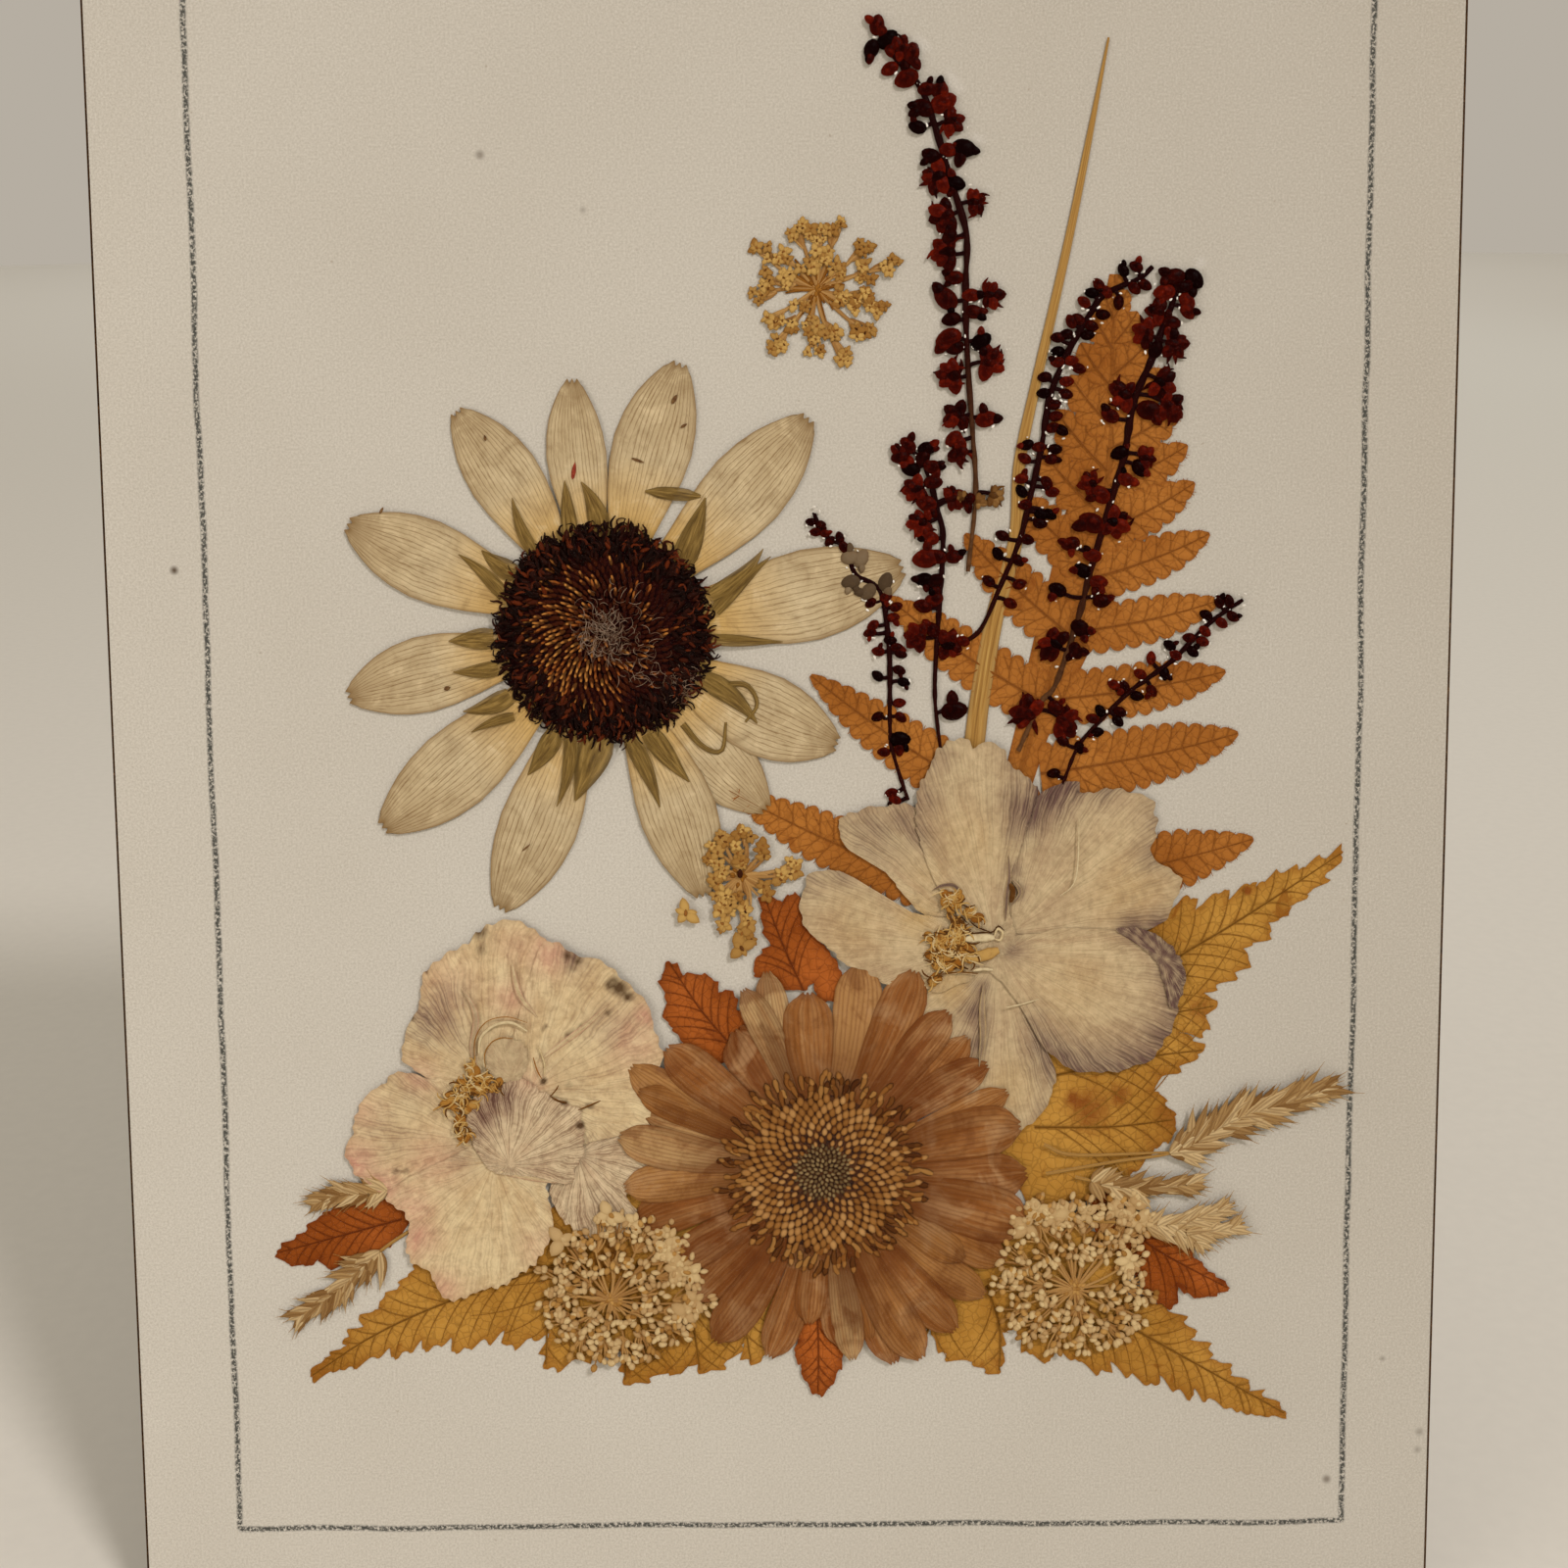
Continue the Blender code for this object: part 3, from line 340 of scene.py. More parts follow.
def straight(start, end, count, bow=0):
    """A line of points that bows to its left by a share of its length."""
    start, end = np.asarray(start, float), np.asarray(end, float)
    t = np.linspace(0, 1, count)[:, None]
    side = np.array([start[1] - end[1], end[0] - start[0]])
    return start + (end - start) * t + side * bow * 4 * t * (1 - t)


def side_of(line):
    """Unit vectors to the left of a line, one for each point."""
    ahead = np.gradient(line, axis=0)
    ahead /= np.linalg.norm(ahead, axis=1)[:, None] + 1e-9
    return np.column_stack([-ahead[:, 1], ahead[:, 0]])


def length_of(line):
    return np.linalg.norm(np.diff(line, axis=0), axis=1).sum()


def facing(angle):
    return np.array((cos(angle), sin(angle)))


def polar(centre, radius, angle):
    return centre + radius * facing(angle)


def turned(vector, angle):
    x, z = vector
    return np.array([x * cos(angle) - z * sin(angle), x * sin(angle) + z * cos(angle)])


def unit(vector):
    return np.asarray(vector, float) / (np.linalg.norm(vector) + 1e-9)


def circle(count):
    """Points round a circle of radius 1."""
    turns = np.linspace(0, tau, count, endpoint=False)
    return np.column_stack([np.cos(turns), np.sin(turns)])


def spiral(count, inner, outer):
    """Places on a sunflower spiral between two radii, as radius and angle."""
    for i in range(count):
        share = (i + 0.5) / count
        yield (inner**2 + (outer**2 - inner**2) * share) ** 0.5, i * pi * (3 - 5**0.5)


def waves(x, rate, seed):
    """Smooth noise along x, mostly between -1 and 1."""
    dice = Dice(seed)
    return sum(np.sin(tau * rate * x * dice(0.4, 1.6) + dice(0, tau)) for _ in range(5)) / 3


def folds(flat, pitch, seed):
    """Smooth noise over the sheet with waves about this many millimetres long."""
    dice = Dice(seed)
    total = 0
    for _ in range(7):
        angle = dice(0, tau)
        turn = flat[:, 0] * cos(angle) + flat[:, 1] * sin(angle)
        total = total + np.sin(tau * turn / pitch * dice(0.6, 1.7) + dice(0, tau))
    return total / 4


def is_inside(points, outline):
    """Which points lie inside a closed outline."""
    a, b = outline, np.roll(outline, -1, 0)
    x, z = points[:, 0][:, None], points[:, 1][:, None]
    crosses = (a[:, 1] > z) != (b[:, 1] > z)
    rise = np.where(b[:, 1] == a[:, 1], 1e-9, b[:, 1] - a[:, 1])
    reach = a[:, 0] + (z - a[:, 1]) * (b[:, 0] - a[:, 0]) / rise
    return (crosses & (x < reach)).sum(1) % 2 == 1


def distance_to(points, outline):
    """How far points are from a closed outline."""
    a, b = outline, np.roll(outline, -1, 0)
    step = b - a
    t = ((points[:, None] - a) * step).sum(2) / np.maximum((step**2).sum(1), 1e-9)
    nearest = a + np.clip(t, 0, 1)[..., None] * step
    return np.linalg.norm(points[:, None] - nearest, axis=2).min(1)


def outline_of(node):
    """The outline of a flat CAD piece, counter-clockwise."""
    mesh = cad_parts[node].data
    to_sheet = SHEET.inverted()
    front = SHEET.to_3x3() @ Vector((0, -1, 0))
    flat = [to_sheet @ vert.co / MM for vert in mesh.vertices]
    keys = [(round(point.x, 2), round(point.z, 2)) for point in flat]
    edges = set()
    for polygon in mesh.polygons:
        if polygon.normal.dot(front) > 0.5:
            corners = [keys[i] for i in polygon.vertices]
            edges |= set(zip(corners, corners[1:] + corners[:1]))
    ahead = {a: b for a, b in edges if (b, a) not in edges}
    outline = [min(ahead)]
    while ahead[outline[-1]] != outline[0]:
        outline.append(ahead[outline[-1]])
    return np.array(outline)


# Pieces

SKIN_SPACING = 1.0  # between the points of a leaf's skin
DOME = ((1, 0), (0.86, 0.55), (0.5, 0.9))  # share of a bead's size, and of its height, ring by ring
pressed_points = []


def grid(rows, columns, closed=False):
    """The faces of a grid of points, row by row."""
    index = np.arange(rows * columns).reshape(rows, columns)
    if closed:
        index = np.column_stack([index, index[:, :1]])
    corners = (index[:-1, :-1], index[:-1, 1:], index[1:, 1:], index[1:, :-1])
    return np.stack(corners, -1).reshape(-1, 4)


class Piece:
    """Collects flat parts into one mesh, with a number for each mark at each point."""

    def __init__(self):
        self.points, self.faces, self.slots = [], [], []
        self.marks = {mark: [] for mark in MARKS}
        self.size = 0

    def add(self, flat, rise, faces, slot=0, **marks):
        corners = flat[faces]
        ahead = np.roll(corners, -1, 1)
        area = (corners[..., 0] * ahead[..., 1] - ahead[..., 0] * corners[..., 1]).sum()
        if area < 0:
            faces = faces[:, ::-1]
        count = len(flat)
        self.points.append(np.column_stack([flat[:, 0], -np.broadcast_to(rise, (count,)), flat[:, 1]]))
        self.faces += [list(dict.fromkeys(face)) for face in (faces + self.size).tolist()]
        self.slots += [slot] * len(faces)
        for mark in MARKS:
            value = marks.get(mark, 0)
            self.marks[mark].append(np.broadcast_to(value(flat) if callable(value) else value, (count,)))
        self.size += count

    def make(self, name, looks, slot, *nodes):
        points = np.concatenate(self.points)
        pressed_points.append(points)
        mesh = bpy.data.meshes.new(name)
        mesh.from_pydata(points.tolist(), [], self.faces)
        mesh.transform(SHEET @ Matrix.Scale(MM, 4))
        for look in looks:
            mesh.materials.append(look.material)
        mesh.polygons.foreach_set("material_index", self.slots)
        for mark, parts in self.marks.items():
            values = np.concatenate(parts).astype(np.float32)
            mesh.attributes.new(mark, "FLOAT", "POINT").data.foreach_set("value", values)
        mesh.shade_smooth()
        obj = new_object(name, mesh)
        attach(obj, PICTURE)
        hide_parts(*nodes)
        return obj

    def strip(self, line, widths, rise, crown, columns=5, ink=0, wide=1, **marks):
        """A domed ribbon along a line."""
        rows = len(line)
        widths = np.interp(np.linspace(0, 1, rows), np.linspace(0, 1, len(widths)), wide * np.array(widths))
        reach = np.linspace(-1, 1, columns)
        flat = line[:, None] + side_of(line)[:, None] * (reach[:, None] * widths[:, None, None] / 2)
        along, across = np.repeat(np.linspace(0, 1, rows), columns), np.tile(reach, rows)
        rise = np.repeat(np.broadcast_to(rise, (rows,)), columns) + crown * (1 - across**2)
        self.add(flat.reshape(-1, 2), rise, grid(rows, columns), along=along, across=across,
                 ink=ink * (1 - across**2), edge=across**4, **marks)

    def hair(self, root, reach, count, bow, widths, rise, crown, columns=3, **marks):
        """A short ribbon from its root."""
        self.strip(straight(root, root + reach, count, bow), widths, rise, crown, columns, **marks)

    def blade(self, line, profile, width, relief, tooth, columns=13, **marks):
        """A petal along a line: its half width follows a profile, and its tip has small teeth."""
        rows = len(line)
        t = np.linspace(0, 1, rows)
        half = np.interp(t, *zip(*profile)) * width / 2
        reach = np.linspace(-1, 1, columns)
        along, across = np.repeat(t, columns), np.tile(reach, rows)
        flat = line[:, None] + side_of(line)[:, None] * (reach[:, None] * half[:, None, None])
        heading = unit(line[-1] - line[-2])
        teeth = tooth * np.cos(pi * 3 * across) * np.clip(along * 4 - 3, 0, 1)
        flat = flat.reshape(-1, 2) + heading * teeth[:, None]
        edge = np.maximum(across**14, np.clip(along * 24 - 23, 0, 1))
        self.add(flat, relief(along, across, flat), grid(rows, columns), along=along, across=across,
                 edge=edge, **marks)

    def fan(self, base, outline, relief, count=160, rings=26, ragged=0.28, seed=0, **marks):
        """A petal that spreads from a base point to a closed, slightly ragged outline."""
        rim = curve(outline, count, closed=True)
        share = np.linspace(0, 1, count, endpoint=False)
        wavy = waves(share, 30, seed) + 0.7 * waves(share, 12, seed + 1)
        frill = ragged * wavy * np.sin(pi * share) ** 0.3
        rim = rim + frill[:, None] * (rim - base) / np.linalg.norm(rim - base, axis=1)[:, None]
        t = np.linspace(0, 1, rings) ** 0.85
        flat = (base + (rim - base)[None] * t[:, None, None]).reshape(-1, 2)
        along = np.repeat(t, count)
        across = np.tile(np.unwrap(np.arctan2(rim[:, 1] - base[1], rim[:, 0] - base[0])), rings)
        self.add(flat, relief(along, across, flat), grid(rings, count, True), along=along,
                 across=across, **marks)

    def membrane(self, outline, relief, **marks):
        """A leaf's skin inside an outline, with points enough for its relief."""
        low, high = outline.min(0), outline.max(0)
        xs, zs = (np.arange(low[k], high[k], SKIN_SPACING) for k in (0, 1))
        inner = np.array([(x + SKIN_SPACING / 2 * (i % 2), z) for i, z in enumerate(zs) for x in xs])
        inner = inner[is_inside(inner, outline)]
        inner = inner[distance_to(inner, outline) > SKIN_SPACING * 0.35]
        points = [Vector(point) for point in np.vstack([outline, inner])]
        rim = list(range(len(outline)))
        verts, _, faces, *_ = delaunay_2d_cdt(points, [], [rim], 1, 1e-5)
        flat = np.array(verts)
        far = distance_to(flat, outline)
        self.add(flat, relief(flat, far), np.array(faces), edge=np.exp(-far / 0.5), **marks)

    def bead(self, centre, heading, length, width, height, rise, sides=8, slot=0, point=0.35, **marks):
        """A low dome, more or less pointed towards its heading."""
        heading = unit(heading)
        side = np.array([-heading[1], heading[0]])
        turns = np.linspace(0, tau, sides, endpoint=False)
        point = 1 + point * np.maximum(np.cos(turns), 0) ** 4
        flat, lift, edge = [], [], []
        for share, up in DOME:
            forward = (np.cos(turns) * point * share * length / 2)[:, None] * heading
            flat.append(centre + forward + (np.sin(turns) * share * width / 2)[:, None] * side)
            lift += [rise + up * height] * sides
            edge += [share**3] * sides
        last = np.arange(sides) + 2 * sides
        top = np.full(sides, 3 * sides)
        cap = np.column_stack([last, np.roll(last, -1), top, top])
        faces = np.vstack([grid(len(DOME), sides, True), cap])
        self.add(np.vstack([*flat, [centre]]), np.array([*lift, rise + height]), faces, slot,
                 **{"edge": np.array([*edge, 0]), **marks})


GROUND = 3  # a disc's ground is the last of its four looks


def disc_ground(piece, centre, profile, sides, rough=1):
    """The ground that florets stand in, from the radius and rise of each ring."""
    radii, lifts = np.array(profile).T
    flat = centre + (radii[:, None] * rough)[..., None] * circle(sides)[None]
    piece.add(flat.reshape(-1, 2), np.repeat(lifts, sides), grid(len(profile), sides, True), GROUND)


# Paper, board and hinge

PAPER_LIGHT = "#DAD6CB"
PAPER_DARK = "#D3CEC2"
# colour of the painted shade laid over the paper towards its top and its right
PAPER_PAINTED_SHADE = "#A89F90"
PENCIL = "#3E403C"
BORDER_LEFT = -76.5
BORDER_RIGHT = 77.7
BORDER_BOTTOM = 13.5
BORDER_TOP = 227
PENCIL_WIDTH = 0.75
SPECKS = (  # x, z and radius of stains in the paper, and how dark they are
    (-38.5, 200.5, 0.5, 0.5), (-25.2, 193.4, 0.3, 0.4), (-80.5, 147, 0.45, 0.9), (-34.6, 131.5, 0.4, 0.6),
    (75.6, 19.6, 0.5, 0.6), (83, 37, 0.25, 0.5), (55.6, 5, 0.35, 0.4), (88.4, 26.4, 0.5, 0.35),
    (88.2, 23.8, 0.4, 0.35),
)


def paper_look():
    look = Look("laid_paper", 0.85, DULL)
    inputs = {"Vector": look.position, "Location": SHEET.translation, "Rotation": (-LEAN, 0, 0),
              "Scale": (MM, MM, MM)}
    place = look.node("Mapping", inputs, vector_type="TEXTURE")  # millimetres on the sheet
    x, z = (look.node("SeparateXYZ", {0: place}, axis) for axis in "XZ")
    fibres = look.noise(3.4, 4, place, 0, 0.7)
    look.base(look.ramp(look.noise(0.02, 3, place), {0.3: PAPER_DARK, 0.7: PAPER_LIGHT}))
    # Painted shade: the paper is darker towards the top, where the light falls off, and darker towards the
    # right.
    look.coat(z.span(30, 230, 0, 0.22), PAPER_PAINTED_SHADE)
    look.coat(x.span(-20, 90, 0, 0.33), PAPER_PAINTED_SHADE)
    look.coat(fibres.span(0.42, 0.66, 0, 0.34), "#8F8672")
    look.coat(fibres.span(0.45, 0.3, 0, 0.3), "#E0DED6")
    look.coat(look.noise(0.9, 2, place).span(0.74, 0.78) * 0.35, "#8A7355")
    for stain_x, stain_z, radius, dark in SPECKS:
        flat = look.vector("MULTIPLY", look.vector("SUBTRACT", place, (stain_x, 0, stain_z)), (1, 0, 1))
        far = look.vector("LENGTH", flat, output="Value")
        look.coat((far + fibres * 0.6).span(radius, radius + 0.6, dark, 0), "#4A3520")
    look.coat(pencil_border(look, place, x, z), PENCIL)
    return look.bump(fibres, 0.5, 0.1)


def pencil_border(look, place, x, z):
    """A hand-ruled rectangle of grainy graphite."""
    wander = look.noise(0.05, 2, place).span(0, 1, -0.5, 0.5)
    lines = []
    for axis, other, values, ends in (
        (x, z, (BORDER_LEFT, BORDER_RIGHT), (BORDER_BOTTOM, BORDER_TOP)),
        (z, x, (BORDER_BOTTOM, BORDER_TOP), (BORDER_LEFT, BORDER_RIGHT)),
    ):
        for value in values:
            line = abs(axis + wander - value).span(PENCIL_WIDTH * 0.3, PENCIL_WIDTH * 0.72, 1, 0)
            starts = other.span(ends[0] - 0.3, ends[0] + 0.1)
            lines.append(line * (starts * other.span(ends[1] - 0.1, ends[1] + 0.3, 1, 0)))
    return reduce(Field.most, lines) * (look.noise(2.2, 3, place, 0, 0.7).span(0.4, 0.52) * 0.95)


def hardboard_look():
    look = Look("hardboard", 0.6)
    fibre = look.noise(700, 6, distortion=1.2, roughness=0.65)
    look.base(look.ramp(fibre, {0.3: "#2C1D10", 0.75: "#5C4026"}))
    look.coat(look.noise(2600, 2).span(0.62, 0.72) * 0.6, "#8A6A45")
    return look.bump(fibre + look.cells(900), 0.5, 0.12)


def hinge_look():
    look = Look("hinge_steel", 0.32, PLAIN, metallic=1)
    brushed = look.noise(260, 4, look.vector("MULTIPLY", look.position, (0.15, 1, 1)))
    look.base(look.ramp(brushed, {0.3: "#8F8A80", 0.7: "#C9C2B4"}))
    look.feed(look.shader.inputs["Roughness"], look.noise(900).span(0.35, 0.7, 0.25, 0.5))
    return look.bump(brushed, 0.2, 0.05)


def dress_carried_nodes():
    dressed = ((hardboard_look(), ("backing_board", "easel_strut")), (paper_look(), ("paper_mount",)),
               (hinge_look(), ("hinge_board_leaf", "hinge_strut_leaf", "hinge_pin")))
    for look, names in dressed:
        for name in names:
            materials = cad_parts[name].data.materials
            materials.clear()
            materials.append(look.material)


# Coneflower

CONEFLOWER = np.array((-23.3, 138.2))
CONE_PETALS = (  # tip x, tip z, width, bow
    (-42.3, 167.4, 9.6, -0.02), (-27, 171.4, 8, 0.03), (-12.8, 173.4, 10.6, 0.02), (4, 166.2, 10.8, -0.02),
    (16.4, 146.6, 12.2, -0.03), (7.6, 123.2, 11.2, -0.03), (-2, 114.5, 9.5, -0.02),
    (-10.6, 102.8, 10.5, 0.03), (-38, 101.2, 10.6, 0.03), (-53.5, 112.4, 10.8, 0.02),
    (-57.6, 130, 10.2, -0.02), (-57, 152.8, 10.8, 0.01),
)
CONE_PROFILE = (
    (0, 0.44), (0.15, 0.6), (0.3, 0.8), (0.45, 0.95), (0.58, 1), (0.7, 0.93), (0.8, 0.8), (0.88, 0.63),
    (0.94, 0.47), (0.98, 0.35), (1, 0.24),
)
CONE_SPECKS = (  # x, z, length, width, turn in degrees, whether red
    (-27, 159.5, 2, 0.6, 80, True), (-44.5, 131, 0.8, 0.6, 20, False), (-13.6, 168.8, 1.2, 0.6, 60, False),
    (-18.6, 161, 1.6, 0.4, -20, False), (-12.4, 165.4, 0.9, 0.4, 30, False),
    (-34.4, 109.4, 1.3, 0.25, 40, False), (-52.6, 154.6, 0.9, 0.4, 60, False),
    (-38.6, 164, 0.7, 0.4, 100, False),
)
CONE_SEPALS = (  # base x, base z, tip x, tip z, width
    (-32.5, 149, -35.2, 156.2, 1.8), (-27.5, 151, -28.2, 158.4, 2.2), (-23.5, 151, -26, 158.2, 3),
    (-13, 147, -9.6, 156, 3.5), (-9, 143, -2, 149.2, 2.5), (-8.5, 141, -1, 148.2, 2),
    (-9, 137.3, 0.5, 136.9, 1.7), (-10, 132, -3, 126, 3), (-17.5, 125, -12.2, 118.2, 3),
    (-20, 124, -16.2, 114.8, 2.5), (-24, 124.5, -27.6, 115.8, 4.8), (-28, 124.5, -30.1, 115, 2),
    (-30, 125, -33.9, 119.3, 3), (-35.5, 127.2, -41.4, 125.1, 1.5), (-36, 130, -42.4, 127.9, 2.8),
    (-37.5, 133.7, -43.6, 133.2, 2.2), (-38, 137.7, -44.1, 137.3, 3), (-36.5, 143.2, -42.5, 148.8, 2),
    (-35, 146.2, -39.4, 149.3, 2.8),
)
STRAY_SEPAL = ((-17.6, 156.9), (-10.2, 156.2))
CONE_HOOKS = (
    ((-9, 131), (-4.6, 131.2), (-3, 128.6), (-4.6, 126.2)), ((-13, 126), (-10.4, 123), (-7.8, 122.4),
    (-7.2, 126.2)),
)
SCALE, FUZZ = 1, 2  # looks of the disc after its bristles
CONE_ROOT = 10.5  # where the petals begin, from the centre
CONE_RIM = 12.5  # where the bristles begin to sink towards the petals
CONE_SIDES = 72
CONE_GROUND = (  # radius and rise of each ring
    (14.1, 0.1), (13.4, 0.7), (12, 1.05), (9.5, 0.95), (7, 0.75), (4, 0.6), (1.5, 0.55), (0.01, 0.55),
)
CONE_DOWN = (  # centre, reach and count of the pale hairs
    ((-23.4, 138), 3, 190), ((-22, 139.6), 5.5, 60), ((-13.4, 131.2), 2.4, 60), ((-18.5, 134), 3.4, 50),
)


def cone_petal_look():
    """Fine veins run along the petal. It yellows towards its base and browns towards its tip."""
    look = Look("coneflower_petal", 0.8)
    pale, tip, line = "#D4C29C", "#B8A27C", "#7C5E36"
    along, across = look.along, look.across
    wander = look.grain(across * 5, along * 3.5, 37, 4, 0.2, 0.65)
    breaks = look.grain(across * 9, along * 3, 37, 3, 0, 0.6)
    patches = look.grain(across * 1.6, along * 4, 37, 4, 0.4, 0.6)
    mottle = look.noise(330, 5, distortion=0.6, roughness=0.65)
    look.base(pale)
    look.coat(patches.span(0.35, 0.7, 0, 0.8), tip)
    look.coat(along.span(0.4, 1, 0, 0.85), tip)
    look.coat(along.span(0.8, 1, 0, 0.4), line)
    look.coat((along + patches * 0.2).span(0.16, 0.6, 0.9, 0), "#CDA048")
    look.coat(mottle.span(0.52, 0.72, 0, 0.4), line)
    look.coat(mottle.span(0.46, 0.3, 0, 0.5), tint(pale, 1.2))
    veins = look.lines(8, wander * 1.6, 0.15) * breaks.span(0.3, 0.55, 0.5, 1)
    finer = look.lines(16, wander * 3.6, 0.16) * breaks.span(0.42, 0.62, 0, 0.7)
    ink = veins.most(finer) * along.span(0.1, 0.7, 0.4, 0.8)
    look.coat(ink.most(look.edge * 0.75), line)
    return look.bump(mottle - veins, 0.4, 0.1)


def speck_look(name, dark, light):
    return mottled_look(name, DULL, (2500, 3), {0.35: dark, 0.65: light}, (3000, 3), 0.4, 0.05)


def coneflower():
    piece, dice = Piece(), Dice(3)
    for index, (x, z, width, bow) in enumerate(CONE_PETALS):
        tip = np.array((x, z))
        line = straight(CONEFLOWER + unit(tip - CONEFLOWER) * CONE_ROOT, tip, 44, bow)
        level = 0.16 + 0.1 * (index % 2)

        def relief(along, across, flat):
            ribs = 0.03 * np.cos(across * pi * 6)
            swell = 0.1 * folds(flat, 16, index) + 0.05 * folds(flat, 5, index) * along
            return level + 0.12 + ribs * (1 - along**4) + swell * 0.6 + 0.2 * np.clip(1 - along * 2.5, 0, 1)

        piece.blade(line, CONE_PROFILE, width, relief, 0.28, 25, tone=dice())
    for x, z, length, width, degrees, is_red in CONE_SPECKS:
        piece.bead(np.array((x, z)), facing(radians(degrees)), length, width, 0.06, 0.42, 8,
                   1 if is_red else 2)
    looks = [cone_petal_look(), speck_look("petal_speck_red", "#7A2418", "#9A4028"),
             speck_look("petal_speck_brown", "#5A3A20", "#7A5A34")]
    piece.make("coneflower_petals_pressed", looks, "coneflower_petal", "coneflower_petals")


def sepal_look():
    look = Look("sepal", 0.8, alpha=0.86)
    streaks = look.grain(look.across * 4, look.along * 2.5, 31, 4, 0.4, 0.6)
    look.base(look.ramp(streaks, {0.32: "#584222", 0.5: "#806634", 0.68: "#A6884C"}))
    look.coat(look.edge * 0.7, "#5A4826")
    return look.bump(streaks, 0.5, 0.1)


def sepals():
    piece, dice = Piece(), Dice(5)
    for base_x, base_z, tip_x, tip_z, width in CONE_SEPALS:
        line = straight((base_x, base_z), (tip_x, tip_z), 12, dice.sway(0.08))
        piece.strip(line, (0.8, 1, 0.92, 0.7, 0.4, 0.06), 0.72 - 0.25 * np.linspace(0, 1, 12), 0.1, 7,
                    wide=width, tone=dice())
    piece.strip(straight(*STRAY_SEPAL, 10), (0.3, 1.6, 1.8, 1.7, 0.4), 0.42, 0.1, 7, tone=0.4)
    for route in CONE_HOOKS:
        piece.strip(curve(route, 18), (0.9, 0.8, 0.6, 0.35), 0.5, 0.2, tone=0.6)
    piece.make("coneflower_sepals_pressed", [sepal_look()], "sepal", "coneflower_sepals")


def cone_disc_looks():
    brown = Look("cone_scale_brown", 0.6)
    brown.base(brown.ramp(brown.tone, {0.1: "#52200C", 0.45: "#8A4416", 0.95: "#C08440"}))
    brown.coat(brown.along.span(0, 0.55, 0.8, 0), "#220705")
    brown.bump(brown.noise(3000), 0.4, 0.05)
    return [
        toned_look("cone_bristle_dark", 0.5, {0.1: "#150704", 0.6: "#2E120A", 0.95: "#5E260E"}), brown,
        toned_look("cone_fuzz", 0.9, {0.2: "#6A4E38", 0.9: "#A8907A"}, specular=DULL, strength=0.3),
        mottled_look("cone_ground", MATT, (1500, 5), {0.35: "#100304", 0.7: "#2E0B08"}, (2200, 4), 0.8, 0.25),
    ]


def cone_disc():
    piece, dice = Piece(), Dice(11)
    shares = np.linspace(0, tau, CONE_SIDES, endpoint=False) / tau
    disc_ground(piece, CONEFLOWER, CONE_GROUND, CONE_SIDES, 1 + 0.035 * waves(shares, 9, 4))
    for radius, angle in spiral(700, 0.5, 11.8):
        place = polar(CONEFLOWER, radius + dice.sway(0.2), angle)
        heading = turned(unit(place - CONEFLOWER), dice.sway(0.25) + 0.3)
        sunny = 0.4 - abs(radius - 6.5) * 0.05 - 0.24 * cos(angle - 0.3)
        tone = np.clip(dice.normal(sunny, 0.22), 0, 1)
        size = dice(0.75, 1.05)
        piece.bead(place, heading, size * (1.1 + 0.4 * tone), size * 0.62, 0.3, 0.8, 7, SCALE, tone=tone)
        if tone > 0.4:
            piece.hair(place, heading * dice(0.4, 1.1), 4, dice.sway(0.1), (0.16, 0.26, 0.3, 0.18), 1.06, 0.1,
                       slot=SCALE, tone=tone + 0.1)
    for radius, angle in spiral(560, 9.8, 14.3):
        place = polar(CONEFLOWER, radius + dice.sway(0.35), angle + dice.sway(0.04))
        outward = turned(unit(place - CONEFLOWER), dice.sway(0.8))
        size = dice(0.8, 1.3)
        piece.bead(place, outward, size * 1.3, size * dice(0.35, 0.75), 0.5,
                   1 - max(radius - CONE_RIM, 0) * 0.3, 7, 0, tone=dice() ** 2)
    for radius, angle in spiral(330, 10.6, 14.7):
        steps = [polar(CONEFLOWER, radius - 0.5, angle + dice.sway(0.1))]
        outward = unit(steps[0] - CONEFLOWER)
        curl = dice.sway(2.6)
        for k in range(5):
            steps.append(steps[-1] + turned(outward, curl * k / 4 + dice.sway(0.3)) * 0.34)
        lift = 1.3 - max(radius - CONE_RIM, 0) * 0.3 + np.linspace(0, 1, 8) * dice(-0.1, 0.25)
        piece.strip(curve(steps, 8), (0.3, 0.34, 0.28, 0.16), lift, 0.14, 3, tone=dice() ** 2)
    for centre, reach, count in CONE_DOWN:
        for radius, angle in spiral(count, 0, reach):
            place = polar(centre, radius + dice.sway(0.5), angle)
            piece.hair(place, facing(dice(0, tau)) * dice(0.6, 1.9), 6, dice.sway(0.35), (0.04, 0.06, 0.03),
                       dice(1.2, 1.4), 0.03, slot=FUZZ, tone=dice())
    for _ in range(130):
        turn = dice(0, tau)
        place = polar(CONEFLOWER, dice(13.2, 14.4), turn)
        piece.hair(place, turned(facing(turn), dice.sway(1.3)) * dice(0.7, 1.6), 7, dice.sway(0.6),
                   (0.26, 0.16), 0.7, 0.08, tone=dice() * 0.5)
    piece.make("coneflower_disc_bristles", cone_disc_looks(), "dark_disc", "coneflower_disc")


# Brown daisy

